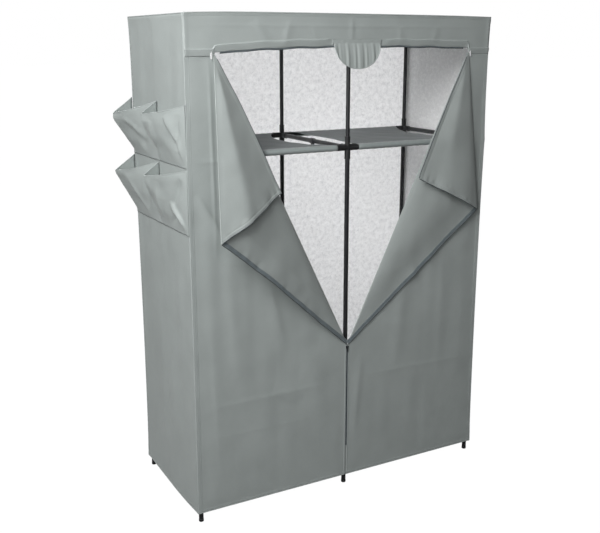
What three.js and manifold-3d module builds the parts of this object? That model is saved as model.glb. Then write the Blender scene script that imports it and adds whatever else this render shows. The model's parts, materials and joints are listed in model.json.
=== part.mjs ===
// Portable fabric wardrobe: a black tube frame in two bays under a sewn grey cloth cover.
// The two front doors are unzipped and folded back over the front, each with its top corner
// turned in again. Lengths are in millimetres, +Z is up, +X runs to the right along the front
// and +Y runs to the back. The origin is the middle of the underside of the front middle foot.

import * as THREE from 'three';
import { mergeVertices } from 'three/addons/utils/BufferGeometryUtils.js';
import Module from 'manifold-3d';

const wasm = await Module();
wasm.setup();

// Overall size of the sewn cover
const COVER_WIDTH = 1170;
const COVER_DEPTH = 505;
const COVER_TOP = 1675;
const HEM_HEIGHT = 37;
const CLOTH = 1.2;
const SEAM_GAP = 0.3;

// Tubes of the frame and the moulded connectors that hold them
const TUBE_RADIUS = 8;
const UPPER_TUBE_RADIUS = 7;
const TUBE_WALL = 0.8;
const FIT_GAP = 0.3;
const SOCKET_WALL = 2.1;
const COLLAR_RISE = 0.5;
const COLLAR_LENGTH = 5;
const SOCKET_STOP = 12;
const SOCKET_DEPTH = 26;
const ROOT_OVERLAP = 1;
const LEG_RADIUS = 8.1;
const FOOT_RISE = 0.5;
const FOOT_HEIGHT = 9;
const FOOT_CHAMFER = 1;

// Levels of the frame above the floor
const BASE_LEVEL = 78;
const SHELF_LEVEL = 1245;

// Hanging rods under the shelf
const ROD_DROP = 27;
const BRACKET_WIDTH = 20;
const BRACKET_REACH = 32;
const BRACKET_WEB_LENGTH = 12;
const BRACKET_WEB_THICKNESS = 8;

// Cloth shelf panels on sleeves round the front and back rails
const SLEEVE_GAP = 0.4;
const SLEEVE_END_GAP = 4;
const SHELF_SAG = 5;
const SHELF_LEFT_WAIST = 25;
const SHELF_RIGHT_WAIST = 78;
const SLEEVE_FREE_DEPTH = 14;

// Front opening: the cloth left beside and above it, and where the open part of the centre zip ends
const FRONT_STRIP_WIDTH = 96;
const VALANCE_HEIGHT = 117;
const ZIP_OPEN_END = 543;
const ZIP_BOTTOM_STOP = 155;
const FOLD_SPLIT = 0.4;
const FOLD_RADIUS = 0.45;
const LEFT_DOOR_TURN = THREE.MathUtils.degToRad(156.9);
const LEFT_CORNER_TURN = THREE.MathUtils.degToRad(175);
const RIGHT_DOOR_TURN = THREE.MathUtils.degToRad(178);
const RIGHT_CORNER_TURN = THREE.MathUtils.degToRad(173);

// Zip tooth rows, sliders and pulls
const TOOTH_ROW_WIDTH = 2.5;
const TOOTH_ROW_THICKNESS = 2.4;
const TOOTH_ROW_SPLIT = 1.6;
const TOOTH_ROW_END = 8;
const TOOTH_ROW_RUN_OUT = 17;
const SLIDER_LENGTH = 12;
const SLIDER_WIDTH = 11;
const SLIDER_NOSE_WIDTH = 8;
const SLIDER_PLATE = 1.2;
const SLIDER_FLANGE = 0.8;
const SLIDER_REST_GAP = 2;
const CROWN_LENGTH = 8;
const CROWN_WIDTH = 2;
const CROWN_STRAP = 0.8;
const CROWN_RISE = 2.4;
const PULL_LENGTH = 18;
const PULL_WIDTH = 6;
const PULL_THICKNESS = 1.2;
const PULL_BAR = 1.4;
const PULL_HOLE_WIDTH = 3.2;
const PULL_HOLE_LENGTH = 4.6;
const PULL_GRIP_HOLE_RADIUS = 1.1;

// Half-round tab that covers the place where the three zips meet
const TAB_CENTRE_X = 26;
const TAB_HALF_WIDTH = 92;
const TAB_DROP = 84;
const TAB_HINGE_RISE = 30;
const TAB_STRIP_HEIGHT = 11;
const TAB_STRIP_THICKNESS = 0.8;
const TAB_STRIP_OVERHANG = 5;
const TAB_FLARE = 9;
const TAB_FLUTE_DEPTH = 1.6;
const TAB_FLUTE_COUNT = 7;
const TAB_BOTTOM_FLAT = 1;

// Side pockets on the left panel, two rows of two
const POCKET_MOUTH_DROPS = [269, 467];
const POCKET_HEIGHTS = [193, 206];
const POCKET_EDGE_MARGIN = 3;
const POCKET_FRONT_REACH = 62;
const POCKET_BACK_REACH = 78;
const POCKET_FRONT_DROP = 38;
const POCKET_BACK_DROP = 52;
const POCKET_FRONT_PEAK_SHARE = 0.9;
const POCKET_BACK_PEAK_SHARE = 0.93;
const POCKET_BULGE_SHARE = 0.12;

// Facets
const TUBE_SIDES = 12;
const ARC_STEPS = 10;
const POCKET_STEPS = 7;
const TAB_STEPS = 8;
const SMALL_ARC_STEPS = 3;
const CUT_OVERRUN = 5;

// Places worked out from the sizes above
const SOCKET_BORE = TUBE_RADIUS + FIT_GAP;
const SOCKET_RADIUS = SOCKET_BORE + SOCKET_WALL;
const ARM_LENGTH = SOCKET_STOP + SOCKET_DEPTH;
const SLIDER_CHANNEL = TOOTH_ROW_THICKNESS + 2 * FIT_GAP;
const SLIDER_HALF = SLIDER_CHANNEL / 2 + SLIDER_PLATE;
const COVER_INSET = SOCKET_RADIUS + FIT_GAP + SLIDER_HALF + CLOTH / 2;
const POST_X = COVER_WIDTH / 2 - COVER_INSET;
const POST_DEPTH = COVER_DEPTH - 2 * COVER_INSET;
const TOP_LEVEL = COVER_TOP - CLOTH - SEAM_GAP - SOCKET_RADIUS;
const FRONT_FACE = -COVER_INSET;
const FRONT_MIDDLE = FRONT_FACE + CLOTH / 2;
const BACK_FACE = POST_DEPTH + COVER_INSET;
const SIDE_FACE = COVER_WIDTH / 2;
const SLEEVE_BORE = TUBE_RADIUS + SLEEVE_GAP;
const SLEEVE_RADIUS = SLEEVE_BORE + CLOTH;
const DOOR_CORNER_X = SIDE_FACE - FRONT_STRIP_WIDTH;
const ZIP_LINE = COVER_TOP - VALANCE_HEIGHT;
const DOOR_HEIGHT = ZIP_LINE - ZIP_OPEN_END;
const CREASE_DROP = DOOR_CORNER_X * Math.tan(Math.atan2(DOOR_HEIGHT, DOOR_CORNER_X) / 2);
const TAB_HINGE_Z = ZIP_LINE + TAB_HINGE_RISE;
const CROWN_PIVOT = SLIDER_HALF + CROWN_RISE / 2;

// Finishes
const finishes = {
  cloth: { color: 0x8c9693, roughness: 0.7, metalness: 0 },
  corner: { color: 0x929c99, roughness: 0.7, metalness: 0 },
  lining: { color: 0xa0a8a5, roughness: 0.8, metalness: 0 },
  shelf: { color: 0x6e7776, roughness: 0.85, metalness: 0 },
  tube: { color: 0x17181a, roughness: 0.35, metalness: 0.5 },
  moulding: { color: 0x131416, roughness: 0.5, metalness: 0 },
  zip: { color: 0xd4d6d8, roughness: 0.3, metalness: 0.8 },
};

const wardrobe = new THREE.Group();

/** Adds a named mesh with a material of its own to a group. */
function addPiece(name, geometry, finish, parent = wardrobe) {
  const mesh = new THREE.Mesh(geometry, new THREE.MeshStandardMaterial(finishes[finish]));
  mesh.name = name;
  parent.add(mesh);
  return mesh;
}

/** Keeps only the places of a geometry's corners and joins the ones that meet. */
function plain(geometry) {
  const bare = geometry.clone();
  bare.deleteAttribute('normal');
  bare.deleteAttribute('uv');
  return mergeVertices(bare);
}

function toSolid(geometry) {
  const merged = plain(geometry);
  const vertProperties = new Float32Array(merged.attributes.position.array);
  const triVerts = new Uint32Array(merged.index.array);
  return new wasm.Manifold(new wasm.Mesh({ numProp: 3, vertProperties, triVerts }));
}

function toGeometry(solid) {
  const mesh = solid.getMesh();
  const geometry = new THREE.BufferGeometry();
  geometry.setAttribute('position', new THREE.BufferAttribute(new Float32Array(mesh.vertProperties), 3));
  geometry.setIndex(new THREE.BufferAttribute(new Uint32Array(mesh.triVerts), 1));
  geometry.computeVertexNormals();
  return geometry;
}

function join(geometries) {
  return toGeometry(geometries.map(toSolid).reduce((sum, next) => sum.add(next)));
}

function cut(geometry, tools) {
  return toGeometry(tools.map(toSolid).reduce((rest, tool) => rest.subtract(tool), toSolid(geometry)));
}

function common(first, second) {
  return toGeometry(toSolid(first).intersect(toSolid(second)));
}

/** A box given by its lowest and highest corners. */
function boxBetween(low, high) {
  const size = high.clone().sub(low);
  const middle = low.clone().add(high).multiplyScalar(1 / 2);
  return new THREE.BoxGeometry(size.x, size.y, size.z).translate(middle.x, middle.y, middle.z);
}

/** Turns a shape of revolution made along +Y so that it runs along a direction from a point. */
function aim(geometry, direction, start) {
  const turn = new THREE.Quaternion().setFromUnitVectors(new THREE.Vector3(0, 1, 0), direction);
  return geometry.applyQuaternion(turn).translate(start.x, start.y, start.z);
}

function revolve(points) {
  return new THREE.LatheGeometry(points.map(([r, h]) => new THREE.Vector2(r, h)), TUBE_SIDES);
}

function rodBetween(from, to, radius) {
  const span = to.clone().sub(from);
  const length = span.length();
  return aim(revolve([[0, 0], [radius, 0], [radius, length], [0, length]]), span.normalize(), from);
}

/** An open-ended tube between two points. */
function tubeBetween(from, to, radius) {
  const span = to.clone().sub(from);
  const length = span.length();
  const bore = radius - TUBE_WALL;
  const profile = [[bore, 0], [radius, 0], [radius, length], [bore, length], [bore, 0]];
  return aim(revolve(profile), span.normalize(), from);
}

const RIGHT = new THREE.Vector3(1, 0, 0);
const LEFT = new THREE.Vector3(-1, 0, 0);
const BACK = new THREE.Vector3(0, 1, 0);
const FRONT = new THREE.Vector3(0, -1, 0);
const UP = new THREE.Vector3(0, 0, 1);
const DOWN = new THREE.Vector3(0, 0, -1);

/** The outer form of one socket arm with its collar at the mouth. */
function socketArm(centre, direction, tubeRadius) {
  const body = tubeRadius + FIT_GAP + SOCKET_WALL - COLLAR_RISE;
  const collar = body + COLLAR_RISE;
  const lip = ARM_LENGTH - COLLAR_LENGTH;
  const profile = [
    [0, 0], [body, 0], [body, lip - COLLAR_RISE], [collar, lip], [collar, ARM_LENGTH], [0, ARM_LENGTH],
  ];
  return aim(revolve(profile), direction, centre);
}

function socketBore(centre, direction, tubeRadius) {
  const from = centre.clone().addScaledVector(direction, SOCKET_STOP);
  const to = centre.clone().addScaledVector(direction, ARM_LENGTH + CUT_OVERRUN);
  return rodBetween(from, to, tubeRadius + FIT_GAP);
}

/** A moulded leg that runs down from a connector and ends in a flat chamfered foot. */
function footLeg(centre) {
  const drop = centre.z;
  const foot = LEG_RADIUS + FOOT_RISE;
  const profile = [
    [0, 0], [LEG_RADIUS, 0], [LEG_RADIUS, drop - FOOT_HEIGHT - FOOT_RISE], [foot, drop - FOOT_HEIGHT],
    [foot, drop - FOOT_CHAMFER], [foot - FOOT_CHAMFER, drop], [0, drop],
  ];
  return aim(revolve(profile), DOWN, centre);
}

/** Arms and bores of a connector; each arm is a direction and the radius of the tube it takes. */
function connectorForms(centre, arms, withLeg = false) {
  const hub = new THREE.SphereGeometry(SOCKET_RADIUS - COLLAR_RISE, TUBE_SIDES, TUBE_SIDES / 2);
  hub.rotateX(Math.PI / 2).translate(centre.x, centre.y, centre.z);
  const outer = [hub, ...arms.map(([direction, radius]) => socketArm(centre, direction, radius))];
  if (withLeg) outer.push(footLeg(centre));
  const bores = arms.map(([direction, radius]) => socketBore(centre, direction, radius));
  return { outer, bores };
}

function connector(centre, arms, withLeg = false) {
  const { outer, bores } = connectorForms(centre, arms, withLeg);
  return cut(join(outer), bores);
}

/** A tube seated in the sockets at both ends, or rooted in the ones it is pressed into. */
function seatedTube(from, to, radius, rootedStart = false, rootedEnd = false) {
  const direction = to.clone().sub(from).normalize();
  const startInset = SOCKET_STOP + (rootedStart ? -ROOT_OVERLAP : FIT_GAP);
  const endInset = SOCKET_STOP + (rootedEnd ? -ROOT_OVERLAP : FIT_GAP);
  const start = from.clone().addScaledVector(direction, startInset);
  const end = to.clone().addScaledVector(direction, -endInset);
  return tubeBetween(start, end, radius);
}

const columns = [['left', -POST_X], ['middle', 0], ['right', POST_X]];
const rows = [['front', 0], ['back', POST_DEPTH]];

function node(x, y, z) {
  return new THREE.Vector3(x, y, z);
}

/** Directions in which rails leave the post at a place in the plan. */
function railArms(x, y) {
  const arms = [[y > 0 ? FRONT : BACK, TUBE_RADIUS]];
  if (x < POST_X) arms.push([RIGHT, TUBE_RADIUS]);
  if (x > -POST_X) arms.push([LEFT, TUBE_RADIUS]);
  return arms;
}

/** The six uprights, each a lower tube, a shelf connector and a thinner upper tube. */
function addUprights() {
  for (const [column, x] of columns) {
    for (const [row, y] of rows) {
      const base = node(x, y, BASE_LEVEL);
      const shelf = node(x, y, SHELF_LEVEL);
      const top = node(x, y, TOP_LEVEL);
      const arms = [...railArms(x, y), [DOWN, TUBE_RADIUS], [UP, UPPER_TUBE_RADIUS]];
      addPiece(`lower_upright_${row}_${column}`, seatedTube(base, shelf, TUBE_RADIUS), 'tube');
      addPiece(`shelf_connector_${row}_${column}`, connector(shelf, arms), 'moulding');
      addPiece(`upper_upright_${row}_${column}`, seatedTube(shelf, top, UPPER_TUBE_RADIUS), 'tube');
    }
  }
}

/** The rails at shelf height: two along the front, two along the back and three from front to back. */
function addShelfRails() {
  for (const [row, y] of rows) {
    for (const [bay, from, to] of [['left', -POST_X, 0], ['right', 0, POST_X]]) {
      const rail = seatedTube(node(from, y, SHELF_LEVEL), node(to, y, SHELF_LEVEL), TUBE_RADIUS);
      addPiece(`shelf_rail_${row}_${bay}`, rail, 'tube');
    }
  }
  for (const [column, x] of columns) {
    const rail = seatedTube(node(x, 0, SHELF_LEVEL), node(x, POST_DEPTH, SHELF_LEVEL), TUBE_RADIUS);
    addPiece(`shelf_rail_depth_${column}`, rail, 'tube');
  }
}

/** Joins connectors and the tubes pressed into them into one piece. */
function pressedAssembly(forms, tubes) {
  const moulded = cut(join(forms.flatMap((form) => form.outer)), forms.flatMap((form) => form.bores));
  return join([moulded, ...tubes]);
}

/** The ring of rails at the floor or under the top, pressed together at its connectors. */
function addLevel(label, level, postArm, withLeg) {
  for (const [row, y] of rows) {
    const middle = node(0, y, level);
    const form = connectorForms(middle, [...railArms(0, y), postArm], withLeg);
    const tubes = [
      seatedTube(node(-POST_X, y, level), middle, TUBE_RADIUS, false, true),
      seatedTube(middle, node(POST_X, y, level), TUBE_RADIUS, true, false),
    ];
    addPiece(`${label}_rail_${row}`, pressedAssembly([form], tubes), 'tube');
  }
  for (const [side, x] of [['left', -POST_X], ['right', POST_X]]) {
    const forms = rows.map(([, y]) => {
      const arms = [...railArms(x, y), postArm];
      return connectorForms(node(x, y, level), arms, withLeg);
    });
    const start = node(x, SOCKET_STOP - ROOT_OVERLAP, level);
    const rail = rodBetween(start, node(x, POST_DEPTH - start.y, level), TUBE_RADIUS);
    addPiece(`${label}_end_${side}`, pressedAssembly(forms, [rail]), 'tube');
  }
  const middleRail = seatedTube(node(0, 0, level), node(0, POST_DEPTH, level), TUBE_RADIUS);
  addPiece(`${label}_rail_depth_middle`, middleRail, 'tube');
}

/** A ring that hangs on a front-to-back rail and carries rod sockets below it. */
function rodBracket(x, socketDirections) {
  const middleY = POST_DEPTH / 2;
  const railAxis = node(x, middleY, SHELF_LEVEL);
  const rodAxis = node(x, middleY, SHELF_LEVEL - ROD_DROP);
  const ringStart = railAxis.clone().addScaledVector(FRONT, BRACKET_WIDTH / 2);
  const ringEnd = railAxis.clone().addScaledVector(BACK, BRACKET_WIDTH / 2);
  const ring = rodBetween(ringStart, ringEnd, SOCKET_RADIUS);
  const web = boxBetween(
    node(x - BRACKET_WEB_THICKNESS / 2, middleY - BRACKET_WEB_LENGTH / 2, rodAxis.z),
    node(x + BRACKET_WEB_THICKNESS / 2, middleY + BRACKET_WEB_LENGTH / 2, railAxis.z - TUBE_RADIUS),
  );
  const sockets = socketDirections.map((direction) => {
    const back = rodAxis.clone().addScaledVector(direction, -BRACKET_WEB_THICKNESS / 2);
    const mouth = rodAxis.clone().addScaledVector(direction, BRACKET_REACH);
    return rodBetween(back, mouth, SOCKET_RADIUS);
  });
  const railBore = rodBetween(
    ringStart.clone().addScaledVector(FRONT, CUT_OVERRUN),
    ringEnd.clone().addScaledVector(BACK, CUT_OVERRUN),
    SOCKET_BORE,
  );
  const rodBores = socketDirections.map((direction) => rodBetween(
    rodAxis.clone().addScaledVector(direction, BRACKET_WEB_THICKNESS / 2),
    rodAxis.clone().addScaledVector(direction, BRACKET_REACH + CUT_OVERRUN),
    SOCKET_BORE,
  ));
  return cut(join([ring, web, ...sockets]), [railBore, ...rodBores]);
}

/** One hanging rod in each bay; its outer bracket is pressed on, its inner end sits in the middle one. */
function addHangingRods() {
  const rodZ = SHELF_LEVEL - ROD_DROP;
  const seat = BRACKET_WEB_THICKNESS / 2;
  addPiece('rod_bracket_middle', rodBracket(0, [LEFT, RIGHT]), 'moulding');
  for (const [bay, x, inward] of [['left', -POST_X, RIGHT], ['right', POST_X, LEFT]]) {
    const outerEnd = node(x, POST_DEPTH / 2, rodZ).addScaledVector(inward, seat - ROOT_OVERLAP);
    const innerEnd = node(0, POST_DEPTH / 2, rodZ).addScaledVector(inward, -seat - FIT_GAP);
    const rod = join([rodBracket(x, [inward]), tubeBetween(outerEnd, innerEnd, TUBE_RADIUS)]);
    addPiece(`hanging_rod_${bay}`, rod, 'tube');
  }
}

/** Outline of a shelf cloth seen from the side: two sleeves with a sagging sheet between their tops. */
function shelfSection() {
  const shape = new THREE.Shape();
  const sag = new THREE.Vector2(POST_DEPTH / 2, SLEEVE_RADIUS - SHELF_SAG);
  const underside = Math.asin(SLEEVE_BORE / SLEEVE_RADIUS);
  const undersideReach = Math.sqrt(SLEEVE_RADIUS ** 2 - SLEEVE_BORE ** 2);
  const turn = Math.PI * 2;
  shape.absarc(0, 0, SLEEVE_RADIUS, turn / 4, turn + underside, false);
  shape.quadraticCurveTo(sag.x, sag.y - CLOTH, POST_DEPTH - undersideReach, SLEEVE_BORE);
  shape.absarc(POST_DEPTH, 0, SLEEVE_RADIUS, turn / 2 - underside, turn + turn / 4, false);
  shape.quadraticCurveTo(sag.x, sag.y, 0, SLEEVE_RADIUS);
  for (const y of [0, POST_DEPTH]) {
    const bore = new THREE.Path();
    bore.absarc(y, 0, SLEEVE_BORE, 0, turn, true);
    shape.holes.push(bore);
  }
  return shape;
}

/** Plan outline of a shelf cloth: full length along the sleeves, drawn in at both side edges. */
function shelfPlan(start, end) {
  const plan = new THREE.Shape();
  const near = SLEEVE_FREE_DEPTH;
  const far = POST_DEPTH - SLEEVE_FREE_DEPTH;
  plan.moveTo(start, -near);
  plan.lineTo(end, -near);
  plan.lineTo(end, near);
  plan.quadraticCurveTo(end - 2 * SHELF_RIGHT_WAIST, POST_DEPTH / 2, end, far);
  plan.lineTo(end, POST_DEPTH + near);
  plan.lineTo(start, POST_DEPTH + near);
  plan.lineTo(start, far);
  plan.quadraticCurveTo(start + 2 * SHELF_LEFT_WAIST, POST_DEPTH / 2, start, near);
  return plan;
}

function addShelfCloths() {
  const options = { bevelEnabled: false, curveSegments: ARC_STEPS };
  for (const [bay, from, to] of [['left', -POST_X, 0], ['right', 0, POST_X]]) {
    const start = from + ARM_LENGTH + SLEEVE_END_GAP;
    const end = to - ARM_LENGTH - SLEEVE_END_GAP;
    const section = new THREE.ExtrudeGeometry(shelfSection(), { depth: end - start, ...options });
    section.rotateX(Math.PI / 2).rotateZ(Math.PI / 2).translate(start, 0, SHELF_LEVEL);
    const plan = new THREE.ExtrudeGeometry(shelfPlan(start, end), { depth: 4 * SLEEVE_RADIUS, ...options });
    plan.translate(0, 0, SHELF_LEVEL - 2 * SLEEVE_RADIUS);
    addPiece(`shelf_cloth_${bay}`, common(section, plan), 'shelf');
  }
}

/** Moves each edge of a convex outline inward by its own distance; points run anticlockwise. */
function insetOutline(points, insets) {
  const count = points.length;
  const lines = points.map((from, i) => {
    const along = points[(i + 1) % count].clone().sub(from).normalize();
    const inward = new THREE.Vector2(-along.y, along.x);
    return { at: from.clone().addScaledVector(inward, insets[i]), along };
  });
  return lines.map((line, i) => {
    const before = lines[(i + count - 1) % count];
    const gap = line.at.clone().sub(before.at);
    const reach = gap.cross(line.along) / before.along.cross(line.along);
    return before.at.clone().addScaledVector(before.along, reach);
  });
}

/** A flat cloth in the front plane, given by its outline in X and Z. */
function frontCloth(points, thickness = CLOTH, middle = FRONT_MIDDLE) {
  const shape = new THREE.Shape(points);
  const cloth = new THREE.ExtrudeGeometry(shape, { depth: thickness, bevelEnabled: false });
  return cloth.rotateX(Math.PI / 2).translate(0, middle + thickness / 2, 0);
}

/** A tooth row in the front plane, given by its lowest and highest corners in X and Z. */
function toothRow(low, high) {
  const half = TOOTH_ROW_THICKNESS / 2;
  return boxBetween(node(low.x, FRONT_MIDDLE - half, low.y), node(high.x, FRONT_MIDDLE + half, high.y));
}

const spot = (x, z) => new THREE.Vector2(x, z);

/** Mirrors outline points across the middle for the right side and keeps them anticlockwise. */
function forSide(side, points) {
  if (side < 0) return points;
  return points.map((p) => spot(-p.x, p.y)).reverse();
}

/** Insets that belong to edges follow their edges when the outline is mirrored. */
function insetsForSide(side, insets) {
  if (side < 0) return insets;
  const reversed = [...insets].reverse();
  return [...reversed.slice(1), reversed[0]];
}

function rowForSide(side, low, high) {
  if (side < 0) return toothRow(low, high);
  return toothRow(spot(-high.x, low.y), spot(-low.x, high.y));
}

const HALF_SPLIT = TOOTH_ROW_SPLIT / 2;
const CORNER = spot(-DOOR_CORNER_X, ZIP_LINE);
const TOP_MIDDLE = spot(0, ZIP_LINE);
const OPEN_END = spot(0, ZIP_OPEN_END);
const CREASE_END = spot(0, ZIP_LINE - CREASE_DROP);

/** The fixed cloth beside and below each door, with its lower half of the zips. */
function fixedFront(side) {
  const outline = [
    spot(-SIDE_FACE, HEM_HEIGHT), spot(0, HEM_HEIGHT), OPEN_END, CORNER, spot(-SIDE_FACE, ZIP_LINE),
  ];
  const insets = [0, HALF_SPLIT, FOLD_SPLIT / 2, HALF_SPLIT, 0];
  const panel = frontCloth(insetOutline(forSide(side, outline), insetsForSide(side, insets)));
  const centreRow = rowForSide(
    side,
    spot(-HALF_SPLIT - TOOTH_ROW_WIDTH, ZIP_BOTTOM_STOP),
    spot(-HALF_SPLIT, ZIP_OPEN_END - SLIDER_REST_GAP),
  );
  const topRow = rowForSide(
    side,
    spot(-DOOR_CORNER_X - TOOTH_ROW_RUN_OUT, ZIP_LINE - HALF_SPLIT - TOOTH_ROW_WIDTH),
    spot(-DOOR_CORNER_X - SLIDER_REST_GAP, ZIP_LINE - HALF_SPLIT),
  );
  return join([panel, centreRow, topRow]);
}

/** The triangle of a door between its fold line, its corner crease and its free centre edge. */
function doorFlap(side) {
  const outline = [CORNER, OPEN_END, CREASE_END];
  const panel = frontCloth(insetOutline(
    forSide(side, outline),
    insetsForSide(side, [FOLD_SPLIT / 2, HALF_SPLIT, FOLD_SPLIT / 2]),
  ));
  const row = rowForSide(
    side,
    spot(-HALF_SPLIT - TOOTH_ROW_WIDTH, ZIP_OPEN_END + TOOTH_ROW_RUN_OUT),
    spot(-HALF_SPLIT, ZIP_LINE - CREASE_DROP - TOOTH_ROW_END),
  );
  return join([panel, row]);
}

/** The top corner of a door beyond the crease, with the zip along its top and centre edges. */
function doorCorner(side) {
  const outline = [CORNER, CREASE_END, TOP_MIDDLE];
  const panel = frontCloth(insetOutline(
    forSide(side, outline),
    insetsForSide(side, [FOLD_SPLIT / 2, HALF_SPLIT, HALF_SPLIT]),
  ));
  const centreRow = rowForSide(
    side,
    spot(-HALF_SPLIT - TOOTH_ROW_WIDTH, ZIP_LINE - CREASE_DROP + TOOTH_ROW_END),
    spot(-HALF_SPLIT, ZIP_LINE - TOOTH_ROW_END),
  );
  const topRow = rowForSide(
    side,
    spot(-DOOR_CORNER_X + TOOTH_ROW_END, ZIP_LINE - HALF_SPLIT - TOOTH_ROW_WIDTH),
    spot(-TOOTH_ROW_END, ZIP_LINE - HALF_SPLIT),
  );
  return join([panel, centreRow, topRow]);
}

/** Hangs a door in its folded-back place: the flap turned at its fold, the corner turned at its crease. */
function addDoor(label, side, doorTurn, cornerTurn) {
  const foldStart = node(side * DOOR_CORNER_X, FRONT_FACE - FOLD_RADIUS, ZIP_LINE);
  const creaseStart = node(side * DOOR_CORNER_X, FRONT_FACE + CLOTH + FOLD_RADIUS, ZIP_LINE);
  const foldAxis = node(-side * DOOR_CORNER_X, 0, -DOOR_HEIGHT).normalize();
  const creaseAxis = node(-side * DOOR_CORNER_X, 0, -CREASE_DROP).normalize();
  const door = new THREE.Group();
  door.position.copy(foldStart);
  door.quaternion.setFromAxisAngle(foldAxis, -side * doorTurn);
  const corner = new THREE.Group();
  corner.position.copy(creaseStart).sub(foldStart);
  corner.quaternion.setFromAxisAngle(creaseAxis, side * cornerTurn);
  door.add(corner);
  wardrobe.add(door);
  const flap = doorFlap(side).translate(-foldStart.x, -foldStart.y, -foldStart.z);
  const tip = doorCorner(side).translate(-creaseStart.x, -creaseStart.y, -creaseStart.z);
  addPiece(`door_flap_${label}`, flap, 'cloth', door);
  addPiece(`door_corner_${label}`, tip, 'corner', corner);
}

/** The band above the opening, with the upper half of the top zips and the strip that holds the tab. */
function valance() {
  const panel = boxBetween(
    node(-SIDE_FACE, FRONT_FACE, ZIP_LINE + HALF_SPLIT),
    node(SIDE_FACE, FRONT_FACE + CLOTH, COVER_TOP - CLOTH - SEAM_GAP),
  );
  const rowEnd = DOOR_CORNER_X + TOOTH_ROW_RUN_OUT;
  const rowFoot = ZIP_LINE + HALF_SPLIT;
  const row = toothRow(spot(-rowEnd, rowFoot), spot(rowEnd, rowFoot + TOOTH_ROW_WIDTH));
  const reach = TAB_HALF_WIDTH + TAB_STRIP_OVERHANG;
  const strip = boxBetween(
    node(TAB_CENTRE_X - reach, FRONT_FACE - TAB_STRIP_THICKNESS, TAB_HINGE_Z + FIT_GAP),
    node(TAB_CENTRE_X + reach, FRONT_FACE + CLOTH / 2, TAB_HINGE_Z + TAB_STRIP_HEIGHT),
  );
  return join([panel, row, strip]);
}

/** The sewn panels of the cover, set edge to edge. */
function addCover() {
  const cloth = CLOTH + SEAM_GAP;
  const wallTop = COVER_TOP - cloth;
  const frontInside = FRONT_FACE + cloth;
  const backInside = BACK_FACE - cloth;
  addPiece('cover_top', boxBetween(
    node(-SIDE_FACE, FRONT_FACE, COVER_TOP - CLOTH),
    node(SIDE_FACE, BACK_FACE, COVER_TOP),
  ), 'cloth');
  addPiece('cover_back', boxBetween(
    node(-SIDE_FACE, BACK_FACE - CLOTH, HEM_HEIGHT),
    node(SIDE_FACE, BACK_FACE, wallTop),
  ), 'lining');
  for (const [side, x] of [['left', -SIDE_FACE], ['right', SIDE_FACE - CLOTH]]) {
    addPiece(`cover_side_${side}`, boxBetween(
      node(x, frontInside, HEM_HEIGHT),
      node(x + CLOTH, backInside, wallTop),
    ), 'cloth');
  }
  addPiece('cover_valance', valance(), 'cloth');
  addPiece('cover_front_left', fixedFront(-1), 'cloth');
  addPiece('cover_front_right', fixedFront(1), 'cloth');
}

/**
 * A closed sheet of even thickness. The place function gives a point for shares u and v, and the
 * thickness is laid on the side that the normals of a rising u crossed with a rising v point away from.
 */
function sheet(place, uSteps, vSteps, thickness) {
  const nextTo = 1e-3;
  const outer = [];
  const inner = [];
  for (const v of vSteps) {
    for (const u of uSteps) {
      const point = place(u, v);
      const alongU = place(Math.min(u + nextTo, 1), v).sub(place(Math.max(u - nextTo, 0), v));
      const alongV = place(u, Math.min(v + nextTo, 1)).sub(place(u, Math.max(v - nextTo, 0)));
      const normal = alongU.cross(alongV).normalize();
      outer.push(point);
      inner.push(point.clone().addScaledVector(normal, -thickness));
    }
  }
  const width = uSteps.length;
  const height = vSteps.length;
  const total = outer.length;
  const faces = [];
  const quad = (a, b, c, d) => faces.push(a, b, c, a, c, d);
  for (let j = 0; j < height - 1; j += 1) {
    for (let i = 0; i < width - 1; i += 1) {
      const a = j * width + i;
      quad(a, a + 1, a + width + 1, a + width);
      quad(total + a + width, total + a + width + 1, total + a + 1, total + a);
    }
  }
  for (let i = 0; i < width - 1; i += 1) {
    const last = (height - 1) * width + i;
    quad(i + 1, i, total + i, total + i + 1);
    quad(last, last + 1, total + last + 1, total + last);
  }
  for (let j = 0; j < height - 1; j += 1) {
    const first = j * width;
    const end = first + width - 1;
    quad(first, first + width, total + first + width, total + first);
    quad(end + width, end, total + end, total + end + width);
  }
  const geometry = new THREE.BufferGeometry();
  const places = [...outer, ...inner].flatMap((p) => [p.x, p.y, p.z]);
  geometry.setAttribute('position', new THREE.Float32BufferAttribute(places, 3));
  geometry.setIndex(faces);
  geometry.computeVertexNormals();
  return geometry;
}

const evenSteps = (count) => Array.from({ length: count + 1 }, (_, i) => i / count);

/** How far one pouch stands out at a share of its width: out to the peak, then sharply back. */
function pouchProfile(share, peakShare) {
  if (share > peakShare) return (1 - share) / (1 - peakShare);
  const rise = share / peakShare;
  return rise + POCKET_BULGE_SHARE * Math.sin(Math.PI * rise);
}

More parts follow.
